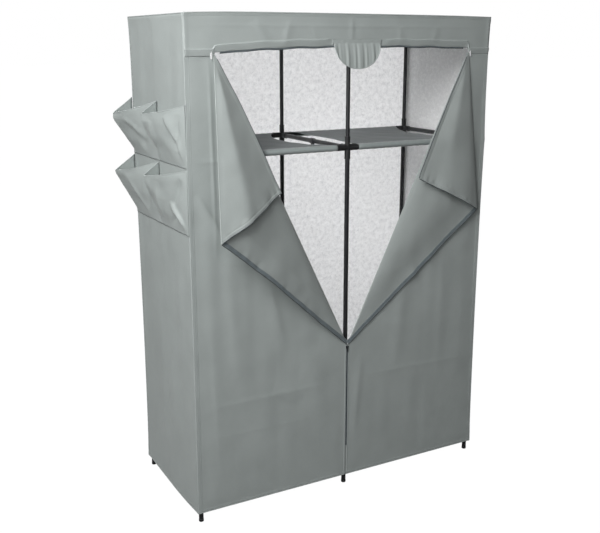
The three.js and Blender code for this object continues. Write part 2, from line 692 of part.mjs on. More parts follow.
/** A strip of cloth sewn down at the bottom, at both edges and along the middle: two gaping pockets. */
function pocketStrip(mouth, height) {
  const start = FRONT_FACE + POCKET_EDGE_MARGIN;
  const end = BACK_FACE - POCKET_EDGE_MARGIN;
  const panelFace = -SIDE_FACE - SEAM_GAP;
  const pouches = [
    { reach: POCKET_FRONT_REACH, drop: POCKET_FRONT_DROP, peak: POCKET_FRONT_PEAK_SHARE },
    { reach: POCKET_BACK_REACH, drop: POCKET_BACK_DROP, peak: POCKET_BACK_PEAK_SHARE },
  ];
  const place = (u, v) => {
    const pouch = pouches[u < 1 / 2 ? 0 : 1];
    const share = u < 1 / 2 ? 2 * u : 2 * u - 1;
    const out = pouchProfile(share, pouch.peak);
    const x = panelFace - pouch.reach * out * v;
    const z = mouth - height * (1 - v) - pouch.drop * out * v * v;
    return node(x, start + (end - start) * u, z);
  };
  const columnSteps = pouches.flatMap((pouch, i) => {
    const rise = evenSteps(POCKET_STEPS).map((s) => s * pouch.peak);
    return rise.map((s) => (s + i) / 2);
  });
  return sheet(place, [...columnSteps, 1], evenSteps(POCKET_STEPS), CLOTH);
}

/** A half-round flap of gathered cloth that flares out from its strip. */
function halfRoundTab() {
  const back = FRONT_FACE - TAB_STRIP_THICKNESS - FIT_GAP;
  const lowest = 1 - TAB_BOTTOM_FLAT / TAB_DROP;
  const place = (u, v) => {
    const across = 2 * u - 1;
    const down = v * lowest;
    const width = TAB_HALF_WIDTH * Math.sqrt(1 - down * down);
    const flare = TAB_FLARE * (1 - (1 - down) ** 4);
    const flute = TAB_FLUTE_DEPTH * Math.cos(TAB_FLUTE_COUNT * Math.PI * across) * down * (1 - down) * 4;
    return node(TAB_CENTRE_X + across * width, back - flare - flute, TAB_HINGE_Z - TAB_DROP * down);
  };
  return sheet(place, evenSteps(2 * TAB_FLUTE_COUNT), evenSteps(TAB_STEPS), CLOTH);
}

/** Section of a zip slider across its travel: two plates, a web between the rows and turned-in flanges. */
function sliderSection() {
  const half = SLIDER_WIDTH / 2;
  const web = HALF_SPLIT - FIT_GAP;
  const channel = SLIDER_CHANNEL / 2;
  const slot = CLOTH / 2 + FIT_GAP;
  const lip = half - SLIDER_FLANGE;
  const quarter = [[web, channel], [lip, channel], [lip, slot], [half, slot], [half, SLIDER_HALF]];
  const mirrored = (sx, sy) => quarter.map(([x, y]) => spot(sx * x, sy * y));
  const outline = [
    ...mirrored(1, -1).reverse(), ...mirrored(1, 1), ...mirrored(-1, 1).reverse(), ...mirrored(-1, -1),
  ];
  return new THREE.Shape(outline);
}

/** Plan of the slider: a wide mouth end, then shoulders that narrow to the tail. */
function sliderPlan() {
  const plan = new THREE.Shape();
  const half = SLIDER_LENGTH / 2;
  const wide = SLIDER_WIDTH / 2;
  const narrow = SLIDER_NOSE_WIDTH / 2;
  plan.moveTo(-wide, half - SLIDER_PLATE);
  plan.quadraticCurveTo(-wide, half, -wide + SLIDER_PLATE, half);
  plan.lineTo(wide - SLIDER_PLATE, half);
  plan.quadraticCurveTo(wide, half, wide, half - SLIDER_PLATE);
  plan.lineTo(wide, SLIDER_PLATE);
  plan.lineTo(narrow, -half);
  plan.lineTo(-narrow, -half);
  plan.lineTo(-wide, SLIDER_PLATE);
  return plan;
}

/** Strap that stands over the front plate; the pull's bar turns under it. */
function crown() {
  const half = CROWN_LENGTH / 2;
  const base = SLIDER_HALF - SLIDER_PLATE / 2;
  const inside = SLIDER_HALF + CROWN_RISE;
  const outside = inside + CROWN_STRAP;
  const arch = new THREE.Shape();
  arch.moveTo(-half, base);
  arch.lineTo(-half, inside);
  arch.quadraticCurveTo(-half, outside, -half + 2 * CROWN_STRAP, outside);
  arch.lineTo(half - 2 * CROWN_STRAP, outside);
  arch.quadraticCurveTo(half, outside, half, inside);
  arch.lineTo(half, base);
  arch.lineTo(half - CROWN_STRAP, base);
  arch.lineTo(half - CROWN_STRAP, inside);
  arch.lineTo(-half + CROWN_STRAP, inside);
  arch.lineTo(-half + CROWN_STRAP, base);
  const options = { bevelEnabled: false, curveSegments: SMALL_ARC_STEPS };
  const strap = new THREE.ExtrudeGeometry(arch, { depth: CROWN_WIDTH, ...options });
  return strap.translate(0, 0, -CROWN_WIDTH / 2).rotateY(Math.PI / 2).rotateZ(Math.PI);
}

/** A slider with its channel along Z and its front towards -Y; turn is the channel's turn about Y. */
function slider(turn) {
  const section = new THREE.ExtrudeGeometry(sliderSection(), { depth: SLIDER_LENGTH, bevelEnabled: false });
  section.translate(0, 0, -SLIDER_LENGTH / 2);
  const plan = new THREE.ExtrudeGeometry(sliderPlan(), {
    depth: 4 * SLIDER_HALF, bevelEnabled: false, curveSegments: SMALL_ARC_STEPS,
  });
  plan.rotateX(Math.PI / 2).translate(0, 2 * SLIDER_HALF, 0);
  const body = common(section, plan).rotateY(turn);
  return join([body, crown()]);
}

/** Flat pull with a slot at its bar and a small grip hole; its bar lies on the X axis at the origin. */
function pull() {
  const half = PULL_WIDTH / 2;
  const top = PULL_BAR / 2;
  const shape = new THREE.Shape();
  shape.moveTo(-half, top);
  shape.lineTo(-half, top - PULL_LENGTH + half);
  shape.absarc(0, top - PULL_LENGTH + half, half, Math.PI, 2 * Math.PI, false);
  shape.lineTo(half, top);
  const slot = new THREE.Path();
  const slotHalf = PULL_HOLE_WIDTH / 2;
  slot.moveTo(-slotHalf, -top);
  slot.lineTo(slotHalf, -top);
  slot.lineTo(slotHalf, -top - PULL_HOLE_LENGTH);
  slot.lineTo(-slotHalf, -top - PULL_HOLE_LENGTH);
  const grip = new THREE.Path();
  grip.absarc(0, top - PULL_LENGTH + half, PULL_GRIP_HOLE_RADIUS, 0, 2 * Math.PI, true);
  shape.holes.push(slot, grip);
  const plate = new THREE.ExtrudeGeometry(shape, {
    depth: PULL_THICKNESS, bevelEnabled: false, curveSegments: SMALL_ARC_STEPS,
  });
  return plate.rotateX(Math.PI / 2).translate(0, PULL_THICKNESS / 2, 0);
}

/** The three sliders with their pulls hanging from the crowns. */
function addZips() {
  const restX = DOOR_CORNER_X + SLIDER_REST_GAP + SLIDER_LENGTH / 2;
  const places = [
    ['top_left', -restX, ZIP_LINE, Math.PI / 2],
    ['top_right', restX, ZIP_LINE, -Math.PI / 2],
    ['centre', 0, ZIP_OPEN_END - SLIDER_REST_GAP - SLIDER_LENGTH / 2, 0],
  ];
  for (const [label, x, z, turn] of places) {
    const holder = new THREE.Group();
    holder.position.set(x, FRONT_MIDDLE, z);
    wardrobe.add(holder);
    addPiece(`zip_slider_${label}`, slider(turn), 'zip', holder);
    const hung = addPiece(`zip_pull_${label}`, pull(), 'zip', holder);
    hung.position.set(0, -CROWN_PIVOT, 0);
  }
}

addUprights();
addShelfRails();
addLevel('base', BASE_LEVEL, [UP, TUBE_RADIUS], true);
addLevel('top', TOP_LEVEL, [DOWN, UPPER_TUBE_RADIUS], false);
addHangingRods();
addShelfCloths();
addCover();
addDoor('left', -1, LEFT_DOOR_TURN, LEFT_CORNER_TURN);
addDoor('right', 1, RIGHT_DOOR_TURN, RIGHT_CORNER_TURN);
addPiece('half_round_tab', halfRoundTab(), 'cloth');
['upper', 'lower'].forEach((row, i) => {
  const mouth = COVER_TOP - POCKET_MOUTH_DROPS[i];
  addPiece(`pocket_row_${row}`, pocketStrip(mouth, POCKET_HEIGHTS[i]), 'cloth');
});
addZips();

export default wardrobe;
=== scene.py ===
"""Looks of a portable fabric wardrobe: cloth cover, folded doors, pockets, shelf, zips and studio.

Lengths are in metres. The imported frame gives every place: +X runs to the right along the front,
+Y to the back and +Z up, and the origin is under the front middle foot.
"""

import json
import logging
import math
from dataclasses import dataclass, field
from enum import Enum
from typing import Callable

import bpy
import numpy as np
from mathutils import Matrix, Vector


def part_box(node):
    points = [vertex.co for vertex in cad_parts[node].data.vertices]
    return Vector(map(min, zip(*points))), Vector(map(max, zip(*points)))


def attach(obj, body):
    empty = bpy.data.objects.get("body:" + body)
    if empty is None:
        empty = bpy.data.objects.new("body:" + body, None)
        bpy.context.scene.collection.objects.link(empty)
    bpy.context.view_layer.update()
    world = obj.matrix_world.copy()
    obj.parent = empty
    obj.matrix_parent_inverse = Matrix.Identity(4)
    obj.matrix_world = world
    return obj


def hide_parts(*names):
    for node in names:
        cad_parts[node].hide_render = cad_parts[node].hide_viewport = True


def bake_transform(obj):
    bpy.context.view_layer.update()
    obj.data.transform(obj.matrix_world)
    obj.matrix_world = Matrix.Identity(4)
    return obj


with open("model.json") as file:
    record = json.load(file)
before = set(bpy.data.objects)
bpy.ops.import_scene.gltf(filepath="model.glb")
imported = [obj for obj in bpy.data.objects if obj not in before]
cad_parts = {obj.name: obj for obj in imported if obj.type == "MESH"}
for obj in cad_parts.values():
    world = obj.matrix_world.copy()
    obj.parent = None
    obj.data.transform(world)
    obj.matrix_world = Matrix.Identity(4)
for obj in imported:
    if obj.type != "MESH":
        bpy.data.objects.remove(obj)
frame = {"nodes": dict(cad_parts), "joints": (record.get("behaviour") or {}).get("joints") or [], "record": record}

logging.basicConfig(level=logging.INFO, format="%(name)s: %(message)s")
log = logging.getLogger("wardrobe")

Array = np.ndarray
X_AXIS = np.array([1.0, 0.0, 0.0])
Y_AXIS = np.array([0.0, 1.0, 0.0])
Z_AXIS = np.array([0.0, 0.0, 1.0])
ROOT = "frame_and_cover"
JOINTS = {joint["name"]: joint for joint in frame["joints"]}
CLOTH = 0.0009
TAPE_CLOTH = 0.0006


class Side(Enum):
    """Left or right half of the wardrobe, as seen from the front; the value is the sign of X."""

    LEFT = -1
    RIGHT = 1

    @property
    def label(self) -> str:
        """Name used for this side in the frame's nodes and bodies."""
        return self.name.lower()


def smooth(share: Array) -> Array:
    """Eases 0 to 1 with level ends: 3 t squared less 2 t cubed, held outside.

    Args:
        share: values, where 0 to 1 is the ramp.

    Returns:
        The eased values.
    """
    t = np.clip(share, 0.0, 1.0)
    return t * t * (3.0 - 2.0 * t)


def unit(vector: Array) -> Array:
    """Vectors scaled to length one along the last axis."""
    return vector / np.maximum(np.linalg.norm(vector, axis=-1, keepdims=True), 1e-12)


def uneven(x: Array, y: Array, pitch: float, seed: int) -> Array:
    """Gentle unevenness between -1 and 1: random heights on a square lattice, eased in between.

    Args:
        x: first coordinate in metres.
        y: second coordinate in metres.
        pitch: spacing of the lattice in metres.
        seed: picks the table of heights.

    Returns:
        Heights at the points.
    """
    cells = 64
    table = np.random.default_rng(seed).uniform(-1.0, 1.0, (cells, cells))
    fx, fy = np.asarray(x) / pitch, np.asarray(y) / pitch
    ix, iy = np.floor(fx).astype(int), np.floor(fy).astype(int)
    tx, ty = smooth(fx - ix), smooth(fy - iy)
    low = table[iy % cells, ix % cells] * (1 - tx) + table[iy % cells, (ix + 1) % cells] * tx
    high = table[(iy + 1) % cells, ix % cells] * (1 - tx) + table[(iy + 1) % cells, (ix + 1) % cells] * tx
    return low * (1 - ty) + high * ty


@dataclass(frozen=True)
class Crease:
    """A soft ridge or valley in a cloth between two points of its own flat coordinates."""

    start: tuple[float, float]
    end: tuple[float, float]
    height: float
    width: float
    lean: float = 0.0

    def relief(self, x: Array, z: Array) -> Array:
        """Height along a segment: a bell across it, a half sine along it, leaning to one side.

        Args:
            x: first flat coordinate of the points.
            z: second flat coordinate of the points.

        Returns:
            Heights in metres.
        """
        ax, az = self.start
        dx, dz = self.end[0] - ax, self.end[1] - az
        length = math.hypot(dx, dz)
        along = ((x - ax) * dx + (z - az) * dz) / length**2
        across = ((x - ax) * dz - (z - az) * dx) / length
        taper = np.sin(np.pi * np.clip(along, 0.0, 1.0)) ** 0.7
        width = self.width * (1.0 + self.lean * np.sign(across))
        return self.height * taper * np.exp(-((across / width) ** 2))


def relief_of(creases: list[Crease], x: Array, z: Array) -> Array:
    """Sum of the heights of several creases."""
    return sum((c.relief(x, z) for c in creases), np.zeros_like(x))


def steps(
    start: float, end: float, pitch: float, fine: tuple[float, ...] = (), reach: float = 0.004
) -> Array:
    """Evenly spaced values with extra ones around seams.

    Args:
        start: first value.
        end: last value.
        pitch: largest spacing.
        fine: values around which the spacing is tight.
        reach: how far the tight spacing goes to either side.

    Returns:
        Rising values from start to end.
    """
    base = np.linspace(start, end, max(2, int(math.ceil(abs(end - start) / pitch)) + 1))
    extra = [np.linspace(f - reach, f + reach, 9) for f in fine]
    values = np.concatenate([base, *extra]) if extra else base
    low, high = min(start, end), max(start, end)
    values = np.unique(np.round(values[(values >= low) & (values <= high)], 5))
    values = values[np.concatenate([[True], np.diff(values) > 2e-4])]
    values[-1] = high
    return values if start < end else values[::-1]


def build_mesh(name: str, points: Array, *groups: Array, flat: Array | None = None) -> bpy.types.Object:
    """Makes a smooth shaded object from points and groups of faces.

    Args:
        name: the object's name.
        points: n by 3 places.
        groups: corner numbers, one row a face; each group has its own number of corners.
        flat: n by 2 flat cloth coordinates, kept as the UV map "cloth".

    Returns:
        The new object, linked to the scene.
    """
    mesh = bpy.data.meshes.new(name)
    corners = np.concatenate([group.ravel() for group in groups]).astype(np.int32)
    counts = np.concatenate([np.full(len(group), group.shape[1]) for group in groups])
    mesh.vertices.add(len(points))
    mesh.vertices.foreach_set("co", np.ascontiguousarray(points, dtype=np.float32).ravel())
    mesh.loops.add(corners.size)
    mesh.loops.foreach_set("vertex_index", corners)
    mesh.polygons.add(len(counts))
    mesh.polygons.foreach_set("loop_start", (np.cumsum(counts) - counts).astype(np.int32))
    mesh.update(calc_edges=True)
    if flat is not None:
        layer = mesh.uv_layers.new(name="cloth")
        layer.data.foreach_set("uv", flat[corners].astype(np.float32).ravel())
    mesh.polygons.foreach_set("use_smooth", np.ones(len(counts), dtype=bool))
    mesh.validate()
    made = bpy.data.objects.new(name, mesh)
    bpy.context.scene.collection.objects.link(made)
    return made


def grid_faces(rows: int, columns: int, closed: bool = False) -> Array:
    """Quads of a grid of points numbered row by row.

    Args:
        rows: rows of points.
        columns: points in a row.
        closed: True where the last column joins the first.

    Returns:
        Four corner numbers a face.
    """
    wide = columns if closed else columns - 1
    i, j = np.meshgrid(np.arange(rows - 1), np.arange(wide), indexing="ij")
    after = (j + 1) % columns
    quads = [i * columns + j, i * columns + after, (i + 1) * columns + after, (i + 1) * columns + j]
    return np.stack(quads, axis=-1).reshape(-1, 4)


@dataclass
class Surface:
    """A cloth's outer face as a function of two coordinates, and the way that it looks."""

    place: Callable[[Array, Array], Array]
    toward: Array
    flat: Callable[[Array, Array], tuple[Array, Array]] = lambda a, b: (a, b)

    def normal(self, a: Array, b: Array) -> Array:
        """Unit normals: the cross product of small steps along both coordinates, turned outward.

        Args:
            a: first coordinates.
            b: second coordinates.

        Returns:
            The normals.
        """
        step = 1e-4
        along_a = self.place(a + step, b) - self.place(a - step, b)
        along_b = self.place(a, b + step) - self.place(a, b - step)
        normals = unit(np.cross(along_a, along_b))
        facing = np.sum(normals * self.toward, axis=-1, keepdims=True)
        return normals * np.where(facing < 0.0, -1.0, 1.0)

    def lifted(self, a: Array, b: Array, lift: Array | float) -> Array:
        """Points raised off the face by a distance."""
        return self.place(a, b) + np.asarray(lift)[..., None] * self.normal(a, b)

    def cloth(
        self,
        name: str,
        a: Array,
        b: Array,
        finishes: list["Finish"],
        thickness: float = CLOTH,
        lift: float = 0.0,
        body: str = ROOT,
        replaces: tuple[str, ...] = (),
    ) -> bpy.types.Object:
        """A cloth piece over a grid of the surface.

        Args:
            name: the piece's name.
            a: rows by columns, the first coordinate.
            b: rows by columns, the second coordinate.
            finishes: the outer finish and, if another, the inner one.
            thickness: cloth thickness.
            lift: how far the outer face stands off the surface.
            body: name of the body that it rides on.
            replaces: names of the frame's nodes that it stands for.

        Returns:
            The finished piece.
        """
        points = self.lifted(a, b, lift) if lift else self.place(a, b)
        made = sewn(name, points, self.toward, np.stack(self.flat(a, b), axis=-1), finishes, thickness)
        return dress(made, None, body, replaces)


def sewn(
    name: str, points: Array, toward: Array, flat: Array, finishes: list["Finish"], thickness: float
) -> bpy.types.Object:
    """A cloth from a grid of places, with its thickness behind the outer face.

    Args:
        name: the piece's name.
        points: rows by columns by 3 places of the outer face.
        toward: the way that the outer face looks.
        flat: rows by columns by 2 flat cloth coordinates.
        finishes: the outer finish and, if another, the inner one.
        thickness: cloth thickness.

    Returns:
        The piece, with its materials.
    """
    rows, columns = points.shape[:2]
    i, j = rows // 2, columns // 2
    turned = np.cross(points[i, j + 1] - points[i, j - 1], points[i + 1, j] - points[i - 1, j])
    faces = grid_faces(rows, columns)
    if turned @ toward < 0:
        faces = faces[:, ::-1]
    made = build_mesh(name, points.reshape(-1, 3), faces, flat=flat.reshape(-1, 2))
    for finish in finishes:
        made.data.materials.append(finish.material())
    wall = made.modifiers.new("thickness", "SOLIDIFY")
    wall.thickness, wall.offset, wall.use_even_offset = thickness, -1.0, False
    wall.material_offset = len(finishes) - 1
    return made


def sweep(
    name: str, path: Array, normals: Array, section: Array, scale: Array | None = None
) -> bpy.types.Object:
    """Carries a closed section along a path: point plus first coordinate times the side direction
    plus second coordinate times the normal, with a lid at both ends.

    Args:
        name: the piece's name.
        path: n by 3 places.
        normals: n by 3 directions out of the surface that the path lies on.
        section: k by 2 outline of the section, anticlockwise.
        scale: n factors on the section.

    Returns:
        The new object, without a material.
    """
    ahead = unit(np.gradient(path, axis=0))
    side = unit(np.cross(ahead, normals))
    up = np.cross(side, ahead)
    factor = np.ones(len(path)) if scale is None else scale
    across = section[None, :, 0, None] * side[:, None, :] + section[None, :, 1, None] * up[:, None, :]
    points = (path[:, None, :] + across * factor[:, None, None]).reshape(-1, 3)
    count = len(section)
    length = np.cumsum(np.linalg.norm(np.diff(path, axis=0, prepend=path[:1]), axis=1))
    girth = np.cumsum(np.linalg.norm(np.diff(section, axis=0, prepend=section[:1]), axis=1))
    flat = np.stack(np.broadcast_arrays(girth[None, :], length[:, None]), axis=-1).reshape(-1, 2)
    around = grid_faces(len(path), count, closed=True)[:, ::-1]
    ring = np.arange(count)
    lids = np.stack([ring, ring[::-1] + len(points) - count])
    return build_mesh(name, points, around, lids, flat=flat)


def round_section(radius: float, sides: int, flatten: float = 1.0) -> Array:
    """Circle of points, with its second coordinate scaled.

    Args:
        radius: the circle's radius.
        sides: number of points.
        flatten: factor on the second coordinate.

    Returns:
        The points.
    """
    turn = np.linspace(0.0, 2.0 * np.pi, sides, endpoint=False)
    return np.stack([radius * np.cos(turn), radius * flatten * np.sin(turn)], axis=-1)


def resample(path: Array, pitch: float) -> tuple[Array, Array]:
    """Evenly spaced points along a path.

    Args:
        path: n by 3 places.
        pitch: spacing wanted.

    Returns:
        The points, and for each one its place among the old points as a fraction of their number.
    """
    length = np.concatenate([[0.0], np.cumsum(np.linalg.norm(np.diff(path, axis=0), axis=1))])
    count = max(2, int(length[-1] / pitch) + 1)
    wanted = np.linspace(0.0, length[-1], count)
    index = np.interp(wanted, length, np.arange(len(path)))
    points = np.stack([np.interp(wanted, length, path[:, k]) for k in range(3)], axis=-1)
    return points, index


def along(values: Array, index: Array) -> Array:
    """Values of a list of vectors at fractional places in it.

    Args:
        values: the vectors.
        index: the places.

    Returns:
        The vectors in between.
    """
    whole = np.arange(len(values))
    return np.stack([np.interp(index, whole, values[:, k]) for k in range(values.shape[1])], axis=-1)


@dataclass(frozen=True)
class Stitching:
    """A row of sewn thread: short stitches that bulge over the cloth and dip at their ends."""

    pitch: float = 0.0042
    share: float = 0.78
    radius: float = 0.00042
    sides: int = 6

    def row(self, name: str, path: Array, normals: Array, finish: "Finish", body: str) -> bpy.types.Object:
        """Lays one stitch at each pitch along a path: rings of a slim spindle on the path's own frame.

        Args:
            name: the piece's name.
            path: n by 3 places on the cloth.
            normals: n by 3 directions out of the cloth.
            finish: the thread's finish.
            body: the body that the row rides on.

        Returns:
            The finished row.
        """
        points, index = resample(path, self.pitch)
        up = unit(along(normals, index))
        ahead = unit(np.gradient(points, axis=0))
        side = unit(np.cross(ahead, up))
        shares = np.array([-0.5, -0.42, -0.2, 0.2, 0.42, 0.5])
        widths = np.array([0.15, 0.8, 1.0, 1.0, 0.8, 0.15]) * self.radius
        lifts = np.array([-0.8, -0.1, 0.45, 0.45, -0.1, -0.8]) * self.radius
        turn = np.linspace(0.0, 2.0 * np.pi, self.sides, endpoint=False)
        length = self.pitch * self.share
        local = np.zeros((len(shares), self.sides, 3))
        local[..., 0] = (shares * length)[:, None]
        local[..., 1] = widths[:, None] * np.cos(turn)
        local[..., 2] = lifts[:, None] + widths[:, None] * np.sin(turn)
        flat = local.reshape(-1, 3)
        placed = (
            points[:, None, :]
            + flat[None, :, 0, None] * ahead[:, None, :]
            + flat[None, :, 1, None] * side[:, None, :]
            + flat[None, :, 2, None] * up[:, None, :]
        )
        count = len(shares) * self.sides
        ring = np.arange(self.sides)
        shift = np.arange(len(points))[:, None, None] * count
        faces = (grid_faces(len(shares), self.sides, closed=True)[None, :, ::-1] + shift).reshape(-1, 4)
        lids = np.stack([ring, ring[::-1] + count - self.sides])[None] + shift
        made = build_mesh(name, placed.reshape(-1, 3), faces, lids.reshape(-1, self.sides))
        return dress(made, finish, body)


def dress(
    piece: bpy.types.Object, finish: "Finish | None", body: str, replaces: tuple[str, ...] = ()
) -> bpy.types.Object:
    """Gives a piece its finish, body and the nodes that it stands for.

    Args:
        piece: the object.
        finish: its finish, or None where its materials are set already.
        body: name of the body that it rides on.
        replaces: names of the frame's nodes that it stands for.

    Returns:
        The same object.
    """
    if finish is not None:
        piece.data.materials.clear()
        piece.data.materials.append(finish.material())
    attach(piece, body)
    if replaces:
        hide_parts(*replaces)
    log.info("%s rides on %s", piece.name, body)
    return piece


class NodeTree:
    """A material's node tree, built up by name."""

    def __init__(self, name: str) -> None:
        """Starts an empty material with an output.

        Args:
            name: the material's name.
        """
        self.material = bpy.data.materials.new(name)
        self.material.use_nodes = True
        self.tree = self.material.node_tree
        self.tree.nodes.clear()
        self.output = self.tree.nodes.new("ShaderNodeOutputMaterial")

    def add(self, kind: str, inputs: dict | None = None, **settings: object) -> bpy.types.Node:
        """Adds a node.

        Args:
            kind: the node's type, without its prefix.
            inputs: values or output sockets, by socket name or number.
            settings: the node's own settings.

        Returns:
            The node.
        """
        made = self.tree.nodes.new("ShaderNode" + kind)
        for key, value in settings.items():
            setattr(made, key, value)
        for key, value in (inputs or {}).items():
            if isinstance(value, bpy.types.NodeSocket):
                self.tree.links.new(value, made.inputs[key])
            else:
                made.inputs[key].default_value = value
        return made

    def ramp(self, factor: bpy.types.NodeSocket, stops: list[tuple[float, tuple]]) -> bpy.types.NodeSocket:
        """A colour ramp.

        Args:
            factor: the socket that it runs over.
            stops: places and colours, in order.

        Returns:
            The colour socket.
        """
        made = self.add("ValToRGB", {0: factor})
        elements = made.color_ramp.elements
        while len(elements) < len(stops):
            elements.new(0.5)
        for element, (place, colour) in zip(elements, stops):
            element.position = place
            element.color = (*colour, 1.0)
        return made.outputs[0]

    def maths(self, operation: str, first: object, second: object) -> bpy.types.NodeSocket:
        """A sum on two sockets or values, as a socket."""
        return self.add("Math", {0: first, 1: second}, operation=operation).outputs[0]

    def bump(
        self, height: bpy.types.NodeSocket, strength: float, distance: float, under: object = None
    ) -> bpy.types.NodeSocket:
        """A bump from a height.

        Args:
            height: the height's socket.
            strength: its strength.
            distance: its depth in metres.
            under: another bump that it lies on, if any.

        Returns:
            The normal's socket.
        """
        inputs = {"Strength": strength, "Distance": distance, "Height": height}
        if under is not None:
            inputs["Normal"] = under
        return self.add("Bump", inputs).outputs[0]

    def finish(
        self, surface: bpy.types.Node, glow: float = 0.0, colour: object = None, normal: object = None
    ) -> bpy.types.Material:
        """Links the surface, mixed with light let through where it glows.

        Args:
            surface: the surface's shader.
            glow: share of light let through.
            colour: colour or socket of that light.
            normal: the surface's bump.

        Returns:
            The material.
        """
        if glow:
            through = self.add("BsdfTranslucent", {"Color": colour, "Normal": normal})
            surface = self.add("MixShader", {0: glow, 1: surface.outputs[0], 2: through.outputs[0]})
        self.tree.links.new(surface.outputs[0], self.output.inputs[0])
        return self.material


def tint(colour: tuple[float, float, float], factor: float) -> tuple[float, float, float]:
    """A colour made lighter or darker by a factor."""
    return tuple(min(1.0, c * factor) for c in colour)


@dataclass(frozen=True)
class Finish:
    """A finish by name, with the record's slot that it belongs to."""

    name: str
    slot: str

    def material(self) -> bpy.types.Material:
        """The finish's material, made once."""
        found = bpy.data.materials.get(self.name)
        return found or self.build(NodeTree(self.name))

    def build(self, nodes: NodeTree) -> bpy.types.Material:
        """Builds the node tree."""
        raise NotImplementedError


@dataclass(frozen=True)
class CoatedCloth(Finish):
    """Thin coated cloth: a fine embossed grain, soft clouds in its grey and a satin sheen."""

    colour: tuple[float, float, float] = (0.37, 0.405, 0.395)
    clouds: float = 0.05
    roughness: float = 0.5
    grain: float = 900.0
    glow: float = 0.0
    glow_colour: tuple[float, ...] = (0.86, 0.86, 0.865, 1.0)

    def build(self, nodes: NodeTree) -> bpy.types.Material:
        """Builds the node tree on the cloth's own flat coordinates.

        Args:
            nodes: an empty node tree.

        Returns:
            The material.
        """
        flat = nodes.add("UVMap", uv_map="cloth").outputs[0]
        cloud = nodes.add("TexNoise", {"Vector": flat, "Scale": 7.0, "Detail": 4.0, "Roughness": 0.6})
        speck = nodes.add("TexNoise", {"Vector": flat, "Scale": 420.0, "Detail": 2.0})
        dark, light = tint(self.colour, 1.0 - self.clouds), tint(self.colour, 1.0 + self.clouds)
        base = nodes.ramp(cloud.outputs[0], [(0.3, dark), (0.7, light)])
        fleck = nodes.ramp(speck.outputs[0], [(0.35, (0.93, 0.93, 0.93)), (0.65, (1.0, 1.0, 1.0))])
        colour = nodes.add("Mix", {0: 1.0, 6: base, 7: fleck}, data_type="RGBA", blend_type="MULTIPLY")
        emboss = nodes.add("TexVoronoi", {"Vector": flat, "Scale": self.grain}, feature="F1")
        slack = nodes.add("TexNoise", {"Vector": flat, "Scale": 38.0, "Detail": 3.0, "Roughness": 0.45})
        rough = nodes.add(
            "MapRange", {"Value": cloud.outputs[0], 3: self.roughness - 0.05, 4: self.roughness + 0.07}
        )
        normal = nodes.bump(emboss.outputs[0], 0.22, 0.00025, nodes.bump(slack.outputs[0], 0.22, 0.0012))
        shader = nodes.add(
            "BsdfPrincipled",
            {
                "Base Color": colour.outputs[2],
                "Roughness": rough.outputs[0],
                "Normal": normal,
                "Sheen Weight": 0.12,
                "Sheen Roughness": 0.4,
                "Specular IOR Level": 0.42,
            },
        )
        return nodes.finish(shader, self.glow, self.glow_colour, normal)


@dataclass(frozen=True)
class FibreLining(Finish):
    """Pale unwoven backing: matted fibres that show as grey flecks and blotches."""

    pale: tuple[float, float, float] = (0.9, 0.9, 0.905)
    fleck: tuple[float, float, float] = (0.6, 0.605, 0.62)
    glow: float = 0.75

    def build(self, nodes: NodeTree) -> bpy.types.Material:
        """Builds the node tree: blotches and stretched fibres in the colour, some light let through.

        Args:
            nodes: an empty node tree.

        Returns:
            The material.
        """
        flat = nodes.add("UVMap", uv_map="cloth").outputs[0]
        stretch = nodes.add("Mapping", {"Vector": flat, "Scale": (1.0, 0.5, 1.0)}).outputs[0]
        blotch = nodes.add("TexNoise", {"Vector": flat, "Scale": 60.0, "Detail": 7.0, "Roughness": 0.72})
        fibres = {"Vector": stretch, "Scale": 260.0, "Detail": 4.0, "Roughness": 0.7, "Distortion": 1.4}
        strand = nodes.add("TexNoise", fibres)
        both = nodes.maths("ADD", blotch.outputs[0], nodes.maths("MULTIPLY", strand.outputs[0], 0.7))
        colour = nodes.ramp(both, [(0.62, self.fleck), (0.8, tint(self.pale, 0.86)), (0.98, self.pale)])
        bump = nodes.bump(strand.outputs[0], 0.3, 0.0006)
        surface = nodes.add(
            "BsdfPrincipled",
            {"Base Color": colour, "Roughness": 0.92, "Normal": bump, "Specular IOR Level": 0.2},
        )
        return nodes.finish(surface, self.glow, colour, bump)


@dataclass(frozen=True)
class ZipWeave(Finish):
    """Woven zip tape, its nylon coil and thread: fine cross ribs, a little shine."""

    colour: tuple[float, float, float] = (0.085, 0.108, 0.122)
    roughness: float = 0.6
    ribs: float = 1400.0

    def build(self, nodes: NodeTree) -> bpy.types.Material:
        """Builds the node tree on object coordinates.

        Args:
            nodes: an empty node tree.

        Returns:
            The material.
        """
        place = nodes.add("TexCoord").outputs["Object"]
        waves = {"Vector": place, "Scale": self.ribs / 6.283, "Distortion": 0.6}
        rib = nodes.add("TexWave", waves, bands_direction="DIAGONAL")
        fuzz = nodes.add("TexNoise", {"Vector": place, "Scale": 300.0, "Detail": 3.0})
        colour = nodes.ramp(fuzz.outputs[0], [(0.3, tint(self.colour, 0.8)), (0.7, tint(self.colour, 1.25))])
        bump = nodes.bump(rib.outputs[0], 0.3, 0.0002)
        shader = nodes.add(
            "BsdfPrincipled",
            {"Base Color": colour, "Roughness": self.roughness, "Normal": bump, "Sheen Weight": 0.1},
        )
        return nodes.finish(shader)


